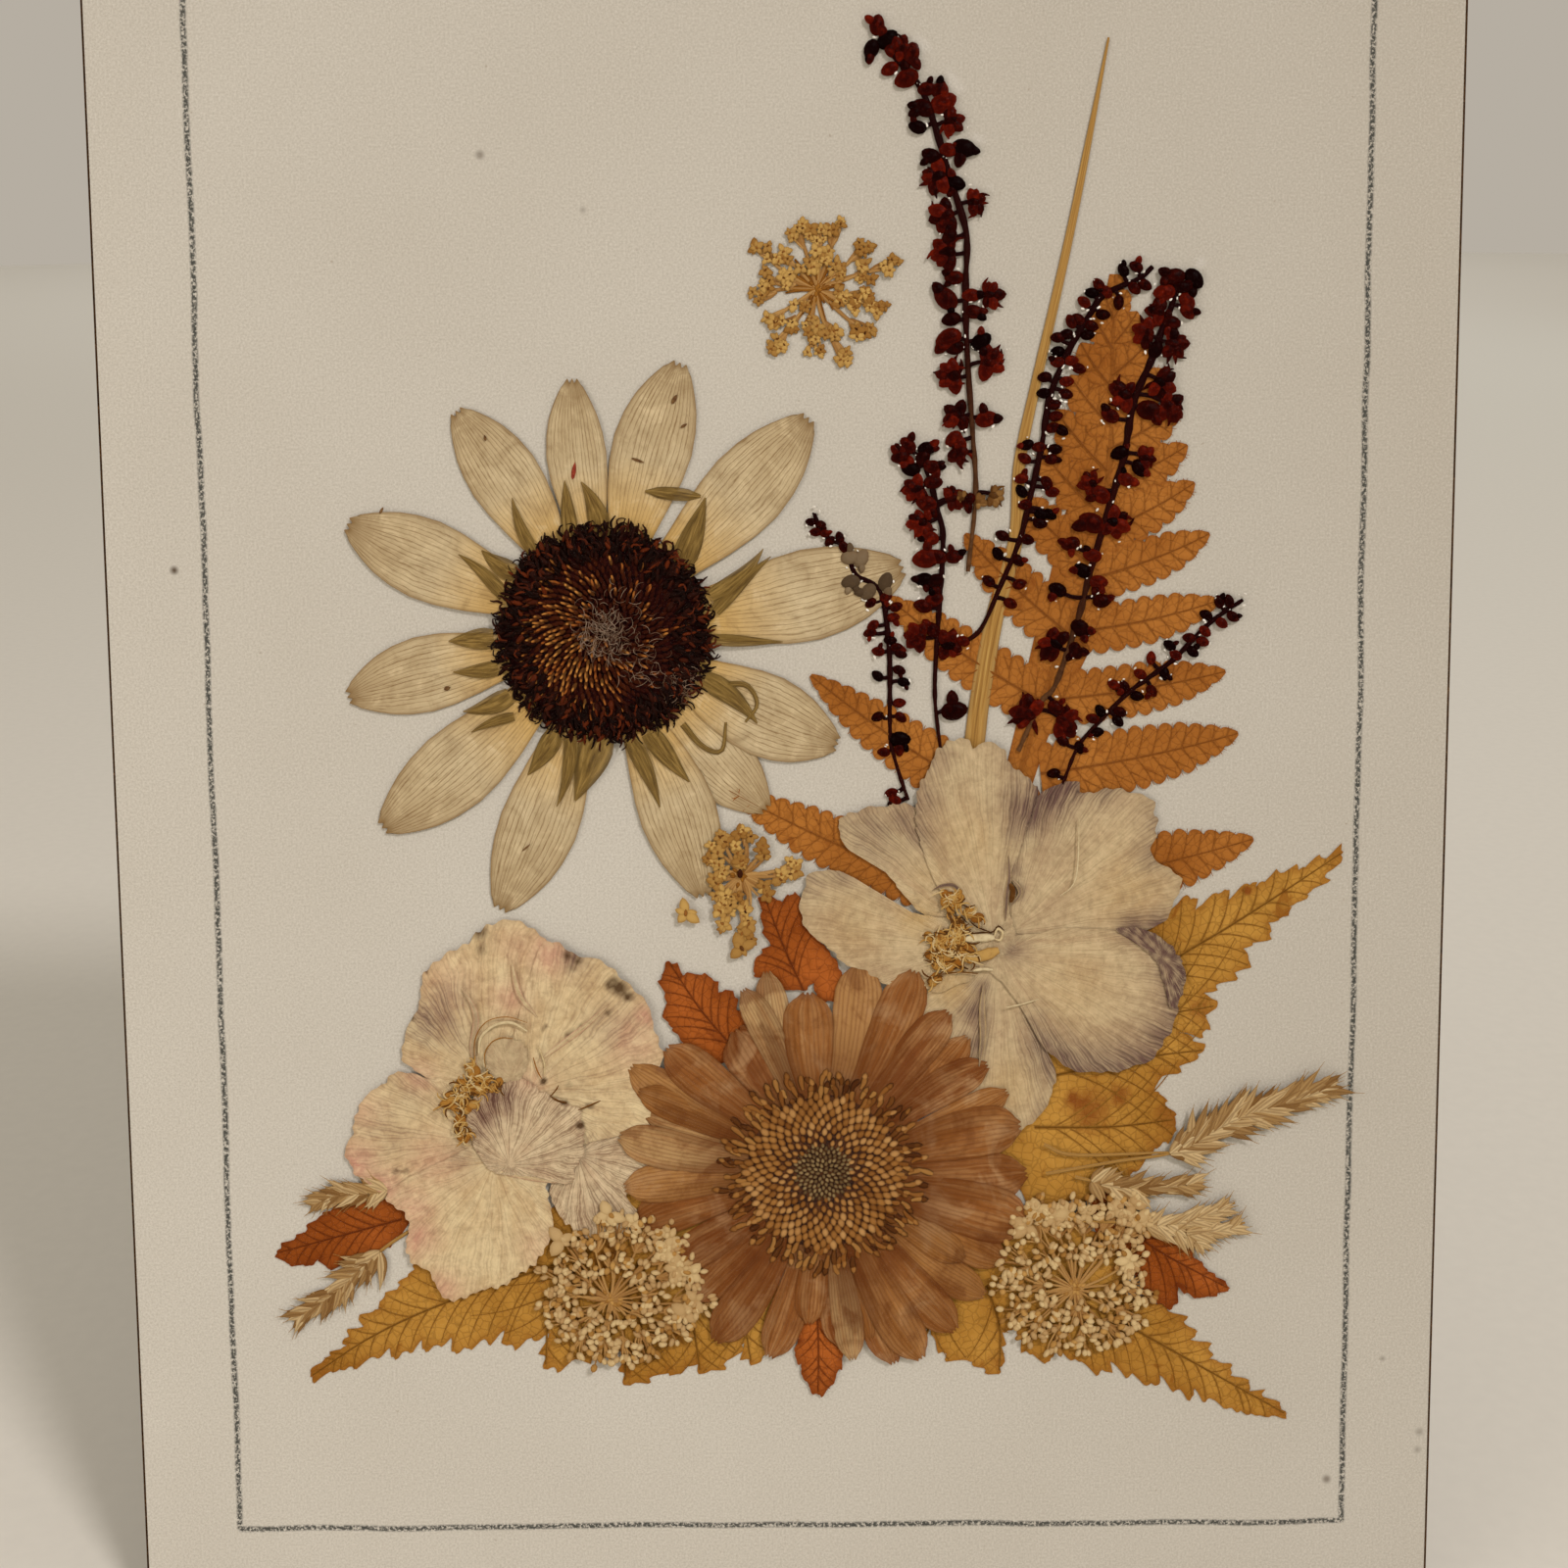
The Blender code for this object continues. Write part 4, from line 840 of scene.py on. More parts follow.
DAISY = np.array((5.5, 64.5))
DAISY_PETALS = (  # tip x, tip z, width, tone
    (-2, 92.2, 4.6, 0.9), (-5.2, 89.8, 4.4, 0.85), (9.4, 37.8, 4.4, 0.85), (11.8, 40.6, 5, 0.55),
    (30.6, 75.4, 4.6, 0.5), (-19.6, 75.8, 4.6, 0.6), (30.4, 51.6, 5.6, 0.55), (-12.4, 46.4, 5, 0.3),
    (3.5, 89.3, 7, 0.55), (10.5, 93.2, 6.8, 0.65), (18, 92.2, 6.6, 0.5), (22.6, 86.5, 5.6, 0.3),
    (25.2, 83, 4.8, 0.5), (27.9, 79.1, 5.2, 0.25), (32.4, 70.6, 7.2, 0.45), (33.3, 64, 7, 0.35),
    (33.4, 56.8, 8.2, 0.4), (24.6, 51.9, 4.6, 0.65), (27.6, 46.8, 5.2, 0.6), (23.6, 41.9, 5.8, 0.5),
    (18.9, 37.9, 6.2, 0.55), (15.2, 37.2, 5.6, 0.4), (8, 39.6, 5.4, 0.3), (3.4, 43, 4.6, 0.45),
    (-2.1, 38.2, 5.4, 0.5), (-9.6, 40.6, 6.2, 0.35), (-14.7, 51.8, 5.6, 0.2), (-20.2, 57.4, 6.4, 0.4),
    (-21.7, 62.4, 5.6, 0.7), (-22.3, 69.6, 5.8, 0.8), (-18.8, 72.7, 4.6, 0.75), (-20.6, 79.2, 5.6, 0.7),
    (-15.7, 81.8, 6.4, 0.4), (-6.2, 84.3, 8.4, 0.2),
)
DAISY_HUB = 14.6  # reach of the petals' joined bases
DAISY_PROFILE = (
    (0, 0.5), (0.25, 0.66), (0.5, 0.9), (0.7, 1), (0.85, 0.94), (0.93, 0.74), (0.975, 0.48), (1, 0.26),
)
CORE, ANTHER = 1, 2  # looks of the disc after its outer florets
DAISY_ROOT = 8  # where the petals begin, from the centre
DAISY_RIM = 9.4  # where the florets begin to sink
DAISY_GROUND = ((10.9, 0.9), (10.4, 1.15), (9, 1.3), (5, 1.35), (2, 1.25), (0.01, 1.2))
DAISY_SIDES = 60
BENEATH_DAISY = ("maple_leaf_left", "maple_leaf_lower_right", "maple_leaf_right", "red_leaf_centre")


def daisy_petal_look():
    look = Look("daisy_petal", 0.75, alpha=0.93)
    along, across = look.along, look.across
    veins = look.lines(5, look.grain(across * 3, along * 4, 53, 3), 0.3)
    patches = look.grain(across * 3, along * 1.6, 53, 4, 0.4, 0.65)
    blotches = look.noise(150, 4, distortion=0.8, roughness=0.6)
    look.base(look.ramp(look.tone, {0.2: "#7E4822", 0.45: "#945C2C", 0.65: "#AC7840", 0.9: "#C0A070"}))
    look.coat(patches.span(0.42, 0.66, 0, 0.7), "#B98A58")
    look.coat(blotches.span(0.54, 0.66, 0, 0.6), "#BC9468")
    look.coat(blotches.span(0.46, 0.36, 0, 0.55), "#74401C")
    look.coat(look.noise(600, 4, roughness=0.65).span(0.5, 0.72, 0, 0.4), "#74451F")
    look.coat(along.span(0.2, 0.62, 1, 0) * 0.7, "#683818")
    look.coat(veins * 0.38, "#6B3C1E")
    look.coat(look.ink * 0.58, "#5C2E10")
    look.coat(look.edge * 0.45, "#633414")
    return look.bump(patches - veins * 0.5, 0.6, 0.12)


def daisy_petal_line(x, z, bow):
    tip = np.array((x, z))
    return straight(DAISY + unit(tip - DAISY) * DAISY_ROOT, tip, 26, bow)


def petal_rim(line, profile, width):
    """A petal's outline as one closed line."""
    half = np.interp(np.linspace(0, 1, len(line)), *zip(*profile)) * width / 2
    reach = side_of(line) * half[:, None]
    return np.vstack([line + reach, (line - reach)[::-1]])


def cover(flat, outlines):
    """How many outlines lie over each point."""
    return sum(is_inside(flat, outline).astype(float) for outline in outlines)


def daisy():
    piece, dice = Piece(), Dice(17)
    lines = [daisy_petal_line(x, z, dice.sway(0.05)) for x, z, *_ in DAISY_PETALS]
    rims = [petal_rim(line, DAISY_PROFILE, petal[2]) for line, petal in zip(lines, DAISY_PETALS)]
    beneath = [outline_of(node) for node in BENEATH_DAISY]
    piece.fan(DAISY, DAISY + DAISY_HUB * circle(48), lambda *_: 0.86, 48, 4, 0.3, tone=0.4, ink=0.5)
    for index, (line, (_, _, width, tone)) in enumerate(zip(lines, DAISY_PETALS)):
        level = 0.95 + 0.07 * (index % 3)
        others = rims[:index] + rims[index + 1:] + beneath

        def relief(along, across, flat):
            return level - 0.25 * along + 0.05 * (1 - across**2) + 0.08 * folds(flat, 11, index) * along

        piece.blade(line, DAISY_PROFILE, width, relief, 0.22, 15, tone=tone + dice.sway(0.08),
                    ink=lambda flat: np.minimum(cover(flat, others), 2) * 0.5)
    piece.make("daisy_petals_pressed", [daisy_petal_look()], "daisy_petal", "daisy_petals")


def daisy_disc_looks():
    return [
        toned_look("daisy_floret", 0.6, {0.05: "#7C4E22", 0.5: "#A27038", 0.95: "#BE9058"}, 0.85, "#4A260C"),
        toned_look("daisy_core", 0.75, {0.1: "#665034", 0.9: "#947C54"}, 0.8, "#3C2612"),
        toned_look("daisy_anther", 0.6, {0.05: "#4E2A10", 0.5: "#865424", 0.95: "#A4763E"}, 1, "#301808"),
        mottled_look("daisy_ground", DULL, (1400, 5), {0.35: "#2A140A", 0.7: "#5E3616"}, (2200, 4), 0.8, 0.2),
    ]


def daisy_disc():
    piece, dice = Piece(), Dice(19)
    disc_ground(piece, DAISY, DAISY_GROUND, DAISY_SIDES)
    for radius, angle in spiral(120, 0, 3.9):
        place = polar(DAISY, radius, angle)
        piece.bead(place, unit(place - DAISY), 0.66, 0.54, 0.2, 1.3, 7, CORE, tone=dice())
    for radius, angle in spiral(310, 3.8, 10.6):
        place = polar(DAISY, radius + dice.sway(0.08), angle)
        outward = turned(unit(place - DAISY), dice.sway(0.15))
        size = np.interp(radius, (3.8, 6.5, 10.6), (0.62, 0.86, 1)) * dice(0.9, 1.1)
        piece.bead(place, outward, size * 1.42, size * 1.06, 0.26, 1.3, 9, 0, 0.15,
                   tone=np.clip(dice.normal(0.55, 0.25), 0, 1))
    for radius, angle in spiral(150, 10.2, 13.8):
        place = polar(DAISY, radius - 0.8, angle)
        outward = turned(unit(place - DAISY), dice.sway(0.45))
        line = straight(place, place + outward * dice(0.9, 2.3), 7, dice.sway(0.15))
        drop = (radius - DAISY_RIM) * 0.05
        piece.strip(line, (0.5, 0.65, 0.85, 0.95, 0.55), 1.25 - drop, 0.2, slot=ANTHER, tone=dice())
        if dice() < 0.45:
            piece.bead(line[-1], outward, dice(0.9, 1.3), dice(0.7, 1), 0.2, 1.28 - drop, 7,
                       ANTHER if dice() < 0.4 else 0, tone=dice(0.1, 0.8))
    piece.make("daisy_disc_florets", daisy_disc_looks(), "daisy_disc", "daisy_disc")


# Delphiniums

PETAL = 1  # look of a petal's fold among the stamens
CREAM = {  # base, level and outline
    "upper_right": ((31.2, 97.5), 0.45, ((29.5, 96), (29.8, 100.5), (31.3, 104), (30.5, 108), (31.5, 112.5),
        (34.5, 116), (37.5, 117.5), (40, 117.8), (40.7, 116.4), (45, 116.9), (48.5, 116), (50.2, 115),
        (50.6, 111), (50.3, 107.5), (54, 104.5), (53, 101), (51.5, 98.5), (45, 96.3), (38, 95.5),
        (33, 95))),
    "upper_left": ((25, 99), 0.42, ((22, 98), (18, 101), (13, 107), (9, 109), (7.8, 112.5), (8.5, 113.5),
        (12, 114.5), (17.5, 115), (19, 112.5), (23, 107), (29, 101), (28, 96.5), (25, 96))),
    "bottom": ((29.5, 94.5), 0.44, ((27, 96), (32.5, 95), (32.5, 88), (35.5, 82), (37, 79), (37.2, 77),
        (36, 73), (33, 70.3), (30, 70), (25, 71.5), (22, 75), (20.6, 79), (19.6, 83), (18.8, 88),
        (19.4, 92), (22, 95))),
    "left": ((25.5, 95.5), 0.66, ((27.5, 99), (20, 99.8), (13, 101.5), (10, 105), (6, 106.2), (3.4, 104.8),
        (2.6, 100), (4, 97.5), (7, 94.9), (9, 93), (11.5, 92.3), (14, 90.5), (18, 89.8), (22, 89.5),
        (27, 92), (28.5, 95.5))),
    "top": ((28.6, 97), 0.7, ((31.8, 96), (29.5, 94.2), (26.5, 95.5), (24.5, 99), (20.5, 105), (18.3, 112),
        (18.5, 116.5), (20, 120), (21.5, 122.7), (25, 123.9), (26, 122.4), (27.5, 123.2), (30, 122.5),
        (30.8, 120.3), (33, 118.7), (34.7, 116.4), (33, 113.5), (31.2, 110.5), (30.3, 107), (30.6, 101.5))),
    "right": ((29.6, 94.6), 0.68, ((28, 96.6), (34.5, 97.2), (38, 98), (45.5, 97.6), (50, 97), (53.2, 94.4),
        (54.7, 92), (54.2, 88.3), (52.7, 83.5), (51.5, 81.2), (49.3, 79.3), (45, 78.1), (40, 78.3),
        (37.5, 79.8), (35.3, 82), (32.8, 86.5), (30, 90.5), (27.6, 92.5))),
}
CREAM_MAUVE = (  # x, z, radius, strength
    (54.6, 92.5, 2.6, 1), (54, 95, 2, 1), (51.5, 97.4, 2, 0.95), (47.6, 98, 1.6, 0.7),
    (54.6, 89, 2.2, 0.95), (54.2, 85.4, 2.2, 0.8), (52.8, 82.2, 2.8, 0.95), (50.6, 79.8, 2.8, 0.95),
    (47.4, 78.4, 2.8, 0.9), (44, 77.8, 2.8, 0.85), (40.6, 78.2, 2.8, 0.85), (37.6, 79.6, 2.6, 0.85),
    (35.6, 82, 2.2, 0.75), (34.6, 85, 1.6, 0.5), (36, 116.6, 3, 1.1), (33.4, 114.3, 2.8, 0.95),
    (38.6, 117.6, 2.2, 1.1), (31.8, 111.6, 1.8, 0.6), (34.6, 119, 2, 0.7), (32.4, 121, 1.8, 0.6),
    (25.8, 82, 1.5, 0.8), (26.2, 86.6, 1.5, 0.9), (27, 89.8, 1.1, 0.8), (25.6, 79, 1.3, 0.6),
    (26.9, 84.4, 0.9, 0.9), (31.5, 94.8, 1, 0.7), (8.6, 106.2, 1.6, 0.6), (43.5, 117, 2, 0.6),
    (12, 111, 3.6, 0.45), (16.4, 113, 2.2, 0.5), (20.5, 121.5, 2, 0.45), (18.6, 115.6, 2, 0.6),
    (18.4, 111, 1.8, 0.5), (36.2, 72.8, 1.8, 0.3), (50.6, 108, 2, 0.5), (50.6, 112.6, 1.8, 0.45),
    (31.6, 103, 1, 0.9), (31.4, 106, 1, 0.6), (4, 104.6, 1.8, 0.4), (32, 95, 1.4, 0.35),
)
CREAM_WARM = (
    (47, 103, 6, 0.4), (26, 110, 5, 0.35), (10, 98, 5, 0.3), (31, 76, 4, 0.4), (18.6, 99.5, 3, 0.7),
    (23, 90, 3.4, 0.6), (20, 105, 3, 0.3), (40, 90, 6, 0.3),
)
CREAM_TANGLES = (  # x, z, spread and number of filaments
    (21.4, 96, 2.3, 20), (21.6, 94.2, 2, 14), (24.2, 98.2, 1.5, 13), (23, 101.6, 1.7, 13),
    (23.8, 96.2, 1.8, 12), (24.8, 94.4, 1.6, 9), (20.7, 91.2, 0.6, 4), (25.6, 100, 0.9, 4),
)
CREAM_CURLS = (  # width, tone and route
    (1.7, 0.7, ((24.4, 94), (27, 94.3), (29.4, 95.1))), (1.2, 1, ((24.8, 96.6), (26.8, 96.8),
    (28.8, 96.8))), (0.4, 0.95, ((28.8, 97), (29.2, 98), (29.9, 97.5), (29.6, 96.5), (28.9, 96.6))), (0.3,
    0.95, ((25.3, 100.8), (26, 101), (26.3, 100.4), (25.8, 99.9))), (0.22, 0, ((25, 97.3), (27, 97.5),
    (28.6, 97.6), (29.3, 98.4), (30.1, 97.8))), (0.22, 0, ((25.4, 99.2), (26.4, 98.3), (28.2, 97.6))), (0.2,
    0, ((24.4, 101.3), (25.4, 101), (26.2, 101.3))), (0.22, 0, ((23.5, 98.7), (24.3, 99.6), (25.1, 98.9))),
    (0.35, 0, ((23.3, 94), (24.4, 94.4), (25.3, 93.6))), (0.3, 0, ((23.2, 92.5), (24.2, 92.9),
    (25.3, 92.5))), (0.2, 0.1, ((21.6, 91.8), (24, 92.1), (26.6, 91.9))), (0.5, 1, ((26, 92.3),
    (27.2, 92.5), (28.6, 92.4))), (0.25, 1, ((30.4, 87.2), (32.4, 87.6), (34.8, 88.3))), (0.25, 1,
    ((40.1, 113), (40, 107), (39.4, 104), (37.6, 102.4))), (0.7, 0.05, ((30.9, 104.2), (31.3, 103),
    (31, 101.6))),
)
CREAM_FOLDS = (  # width, mauve, brown and route
    (0.7, 1.2, 0, ((20.4, 103.3), (21.6, 103.9), (23.2, 104), (24.2, 103.1), (24.6, 102.2))), (0.7, 1, 0,
    ((30.7, 108), (30.8, 105), (30.5, 102.5), (30.3, 99))), (0.6, 0.8, 0, ((31, 105), (32.3, 103),
    (31.2, 101.2))), (0.9, 0.6, 0, ((27.4, 90.6), (27.2, 87), (27.3, 83), (26.8, 79))),
)
CREAM_FLAPS = (  # base, mauve, look and outline
    ((51.5, 93.8), 1, 1, ((45.2, 97.8), (47.4, 96.2), (49, 95), (50.6, 93.4), (51.4, 91.6), (52, 89.6),
    (52.6, 87.2), (53.6, 87), (54.3, 90), (54.5, 92.6), (52.8, 95.4), (50.2, 97.3), (48, 98))),
)
PINK = {
    "top": ((-40.5, 77), 0.45, ((-36.5, 74), (-42, 74), (-47, 77), (-51.5, 80), (-51.8, 82), (-51, 85),
        (-49.4, 87.6), (-48.7, 92), (-45.7, 94.9), (-43, 96.2), (-39.5, 99.1), (-36.4, 99.6), (-32.4, 97.3),
        (-29.5, 93), (-31, 85), (-34, 78))),
    "lower_right": ((-28.2, 67), 0.43, ((-30, 69), (-27, 70.5), (-22, 70.2), (-18, 67), (-15.5, 66),
        (-19, 64.5), (-21.4, 61), (-19.5, 58), (-22, 55.4), (-26.5, 55.2), (-28.5, 56), (-30.5, 58),
        (-32, 61.5), (-31.5, 65.5))),
    "left": ((-41.5, 69), 0.46, ((-38.5, 68), (-39.5, 73), (-43.5, 76.5), (-47.5, 77.5), (-52, 78.8),
        (-54, 77.5), (-57, 75.5), (-58.4, 72.5), (-59, 70), (-60.3, 67), (-59.2, 65.8), (-58.5, 64.3),
        (-57, 63), (-55.5, 61.9), (-53, 61.6), (-48, 61.6), (-41, 63.5))),
    "upper_right": ((-34.5, 76), 0.66, ((-38.2, 74), (-37.5, 80), (-36.2, 85), (-34.5, 91), (-32, 96.8),
        (-28.5, 95.2), (-23, 93.2), (-22, 91.5), (-20, 90.1), (-18.3, 88), (-17.5, 85), (-16.4, 80),
        (-20, 76), (-17.8, 74.5), (-18, 71), (-22, 70), (-27, 68.6), (-30, 70), (-34, 72))),
    "bottom": ((-39.5, 66.2), 0.68, ((-40, 69.5), (-36, 68.5), (-33.2, 65.5), (-32.4, 62), (-32, 59.5),
        (-31.7, 56.5), (-33, 53.5), (-35, 51.2), (-38.5, 48.9), (-42, 47.8), (-45, 46.7), (-47, 47),
        (-48.2, 49), (-48.9, 51), (-51.2, 51.8), (-52, 54.5), (-51.5, 57), (-52.2, 59), (-54.5, 61.2),
        (-52, 63.6), (-46, 66.6))),
    "folded": ((-37.5, 65.8), 0.9, ((-40, 65), (-42.6, 69.5), (-43.2, 73), (-41, 76.2), (-38, 77.2),
        (-35.5, 77.8), (-31.5, 75.2), (-28, 73.6), (-27.3, 71), (-27.2, 68), (-28.2, 65.5), (-29.5, 63.1),
        (-34, 64))),
}
PINK_MAUVE = (
    (-38.6, 75, 2, 0.8), (-40.8, 72.8, 1.8, 0.75), (-41.4, 70.4, 1.4, 0.4), (-54, 70.5, 3.5, 0.2),
    (-26, 68, 2.5, 0.2), (-47.5, 86, 3, 0.6), (-45.6, 88.4, 2.2, 0.5), (-44.6, 83.6, 2.4, 0.3),
    (-31, 73.5, 1.6, 0.1), (-51, 76, 3, 0.2), (-25, 59.5, 3, 0.15), (-43.6, 66.6, 2, 0.3),
    (-29, 76.5, 2.4, 0.12), (-28, 94.6, 1.6, 0.6), (-23, 85, 3, 0.25), (-33, 65.5, 2.5, 0.1),
)
PINK_BLUSH = (
    (-58.5, 66, 3, 1), (-55.5, 62.6, 3, 1), (-50.5, 55.5, 3, 0.8), (-47, 48.5, 2.6, 0.6),
    (-45, 91.5, 4, 0.35), (-20, 83, 4, 0.5), (-33.5, 54, 2.6, 0.4), (-57.5, 73.5, 3, 0.5),
    (-31.5, 95, 3, 0.8), (-36, 96, 3, 0.35), (-48, 66, 4, 0.45), (-37, 89, 2.6, 0.55), (-51, 60, 3, 0.8),
    (-18.4, 86, 2, 0.8), (-34.5, 77, 2.4, 0.5), (-49.5, 78, 2.4, 0.5),
)
PINK_SPOTS = (
    (-22.2, 90.3, 1.2, 2.2), (-23.4, 90.6, 0.8, 1.8), (-20.9, 89, 0.8, 2), (-32.3, 84.8, 0.45, 1.9),
    (-28.9, 83.8, 0.7, 1.6), (-27.6, 85, 0.5, 1.2), (-23.6, 86.8, 0.6, 1.4), (-32.7, 77.3, 0.5, 2.4),
    (-29.8, 74.4, 0.5, 2), (-27.7, 71.2, 0.6, 2.3), (-22.9, 91.4, 0.5, 2), (-26.4, 73.9, 0.6, 1.7),
    (-53.2, 64.8, 0.5, 1.9), (-51.8, 64.9, 0.45, 1.8), (-50.2, 86.2, 0.45, 1.7), (-29.2, 76.8, 0.8, 0.9),
    (-40.8, 98, 1.2, 1.6), (-40.6, 95.6, 1, 1.2), (-29, 94.7, 0.8, 1.6), (-27.6, 94, 0.8, 1.5),
    (-52.2, 82, 0.4, 1.6), (-48.2, 92.6, 0.4, 1.4), (-28.4, 93, 0.9, 1.1),
)
PINK_TANGLES = (
    (-45.4, 75.2, 1, 6), (-43.6, 76.4, 1.3, 10), (-42, 78.4, 1.2, 8), (-41, 76.6, 1.3, 9),
    (-43.4, 74.2, 1.3, 9), (-44, 71.6, 1, 6), (-43.8, 70, 1.1, 7), (-39.4, 76.6, 0.8, 3),
)
PINK_CURLS = (
    (0.2, 0.1, ((-31.7, 75.3), (-30.9, 76.2), (-30.5, 76.9))), (0.3, 0.05, ((-31.6, 75.3), (-30.6, 74.7),
    (-29.4, 74.4))), (0.22, 0.1, ((-27.9, 73.4), (-26.4, 74), (-24.8, 74.7))), (0.2, 0.3, ((-33.9, 80.8),
    (-33.4, 79), (-32.8, 77.8))), (0.3, 0.95, ((-33.2, 82.4), (-32.4, 80), (-32.4, 78.4))), (0.2, 0.1,
    ((-40.8, 77.7), (-39.4, 76.9), (-38.2, 76.7))), (0.16, 0.4, ((-40.4, 79.4), (-40.5, 81.2),
    (-39.6, 82.8), (-38.2, 83.5), (-36.6, 83.4))), (0.5, 0.98, ((-41.3, 81.4), (-40.9, 83.6), (-39.2, 85.2),
    (-36.8, 85.6), (-34.6, 84.4))), (0.14, 0.4, ((-41.9, 80.4), (-41.7, 83.4), (-40.2, 85.7), (-37.4, 86.4),
    (-34.6, 85.6))),
)
PINK_FOLDS = (
    (0.9, 0, 0, ((-40.2, 65), (-36.4, 64.3), (-32.4, 63.6), (-28.8, 63.2))), (0.8, 0.3, 0.2, ((-43.4, 90.6),
    (-41.6, 86.6), (-42.2, 82), (-41.4, 78.6))), (0.8, 0, 0.2, ((-36.6, 94), (-35.6, 89.4), (-33.2, 86.2))),
    (0.8, 0, 0.3, ((-33.4, 80), (-30, 82.6), (-27, 84.8), (-23.4, 88))),
)
PINK_FLAPS = (
    ((-37, 78), 0, 2, ((-38.6, 77.4), (-40.1, 79), (-40.4, 80.8), (-39.9, 82.4), (-38.6, 83.4), (-37, 83.6),
    (-35.3, 82.7), (-34.6, 80.8), (-35, 79), (-35.9, 77.6))),
)


def stain(spots, reach=1):
    """A mark that is strongest at some places on the sheet."""
    def value(flat):
        total = np.zeros(len(flat))
        for x, z, radius, strength in spots:
            near = ((flat - (x, z)) ** 2).sum(1) / (radius * reach) ** 2
            total = np.maximum(total, strength * np.exp(-near))
        return total
    return value


def fan_look(name, colours, first, feather, vein_ink, streaks=1):
    """A thin petal with veins that spread from its base and divide on their way out."""
    pale, shade, vein, rim, blush, ink, spot = colours
    look = Look(name, 0.8)
    along, across = look.along, look.across
    far = along * 3
    wander = look.grain(far, across * 2, 41, 3, 0.2)
    veins = look.lines(first, wander, 0.04 + 0.12 * vein_ink)
    for times, start, strength in ((2, 0.3, 0.9), (4, 0.58, 0.8)):
        finer = look.lines(first * times, wander * (times * 0.9), 0.07 + 0.1 * vein_ink)
        veins = veins.most(finer * along.span(start, start + 0.12, 0, strength))
    fibres = look.grain(across * (feather * 2.5), along * 2, 41, 4, 0.1, 0.7)
    hairs = look.grain(across * feather, far, 41, 4, 0.15, 0.7)
    broad = look.grain(across * 3, far, 41, 3, 0.5, 0.6)
    crumple = look.noise(420, 5, distortion=0.8, roughness=0.6)
    felt = look.noise(900, 4, distortion=0.4, roughness=0.7)
    bright = tint(pale, 1.22)
    look.base(pale)
    look.coat(broad.span(0.36, 0.66), shade)
    look.coat(hairs.span(0.5, 0.72, 0, 0.42 * streaks), shade)
    look.coat(hairs.span(0.48, 0.3, 0, 0.32 * streaks), bright)
    look.coat(fibres.span(0.52, 0.75, 0, 0.4 * streaks), vein)
    look.coat(fibres.span(0.45, 0.3, 0, 0.3 * streaks), bright)
    look.coat(crumple.span(0.55, 0.75, 0, 0.3), vein)
    look.coat(look.edge * broad.span(0.3, 0.6, 0.5, 0.9), blush)
    look.coat(veins * vein_ink, vein)
    look.coat(felt.span(0.5, 0.7, 0, 0.38), vein)
    look.coat(felt.span(0.48, 0.32, 0, 0.38), bright)
    look.coat(along.span(0.97, 1, 0, 0.3), rim)
    look.coat(look.math("MULTIPLY", look.ink, hairs.span(0.34, 0.66, 1.25, 0.4), True), ink)
    look.coat(look.math("MULTIPLY", veins, look.ink, True), tint(ink, 0.5))
    look.coat((look.spot + hairs * 1.1).span(0.9, 2.2, 0, 0.9), spot)
    return look.bump(hairs * 0.6 + crumple * 0.8 - veins * 0.3, 0.5, 0.18)


def stamen_look():
    look = Look("stamen", 0.6)
    look.base(look.ramp(look.tone, {
        0: "#3E240E", 0.25: "#965E1E", 0.55: "#B4823A", 0.8: "#C8A664", 1: "#DACAA2"}))
    look.coat(look.noise(1500).span(0.45, 0.7, 0, 0.35), "#8F6A3A")
    look.coat(look.edge * 0.55, "#6A4014")
    return look.bump(look.noise(3000), 0.4, 0.05)


def delphinium(name, petals, ink, blush, spot, look, veined=(), veined_look=None):
    for index, (place, (base, level, outline)) in enumerate(petals.items()):
        def relief(along, across, flat):
            pleats = 0.07 * waves(across, 1.6, index) + 0.04 * waves(across, 5, index + 9)
            crumple = 0.06 * folds(flat, 7, index + 40) + 0.035 * folds(flat, 2.6, index + 50)
            return level + 0.1 + (pleats * (1 - along**6) + crumple) * np.minimum(along * 2, 1)

        piece = Piece()
        piece.fan(np.array(base), outline, relief, seed=index, tone=0.1 + 0.13 * index, ink=ink, edge=blush,
                  spot=spot)
        piece.make(f"{name}_delphinium_{place}_pressed", [veined_look if place in veined else look],
                   f"{name}_petal", f"{name}_delphinium_petal_{place}")


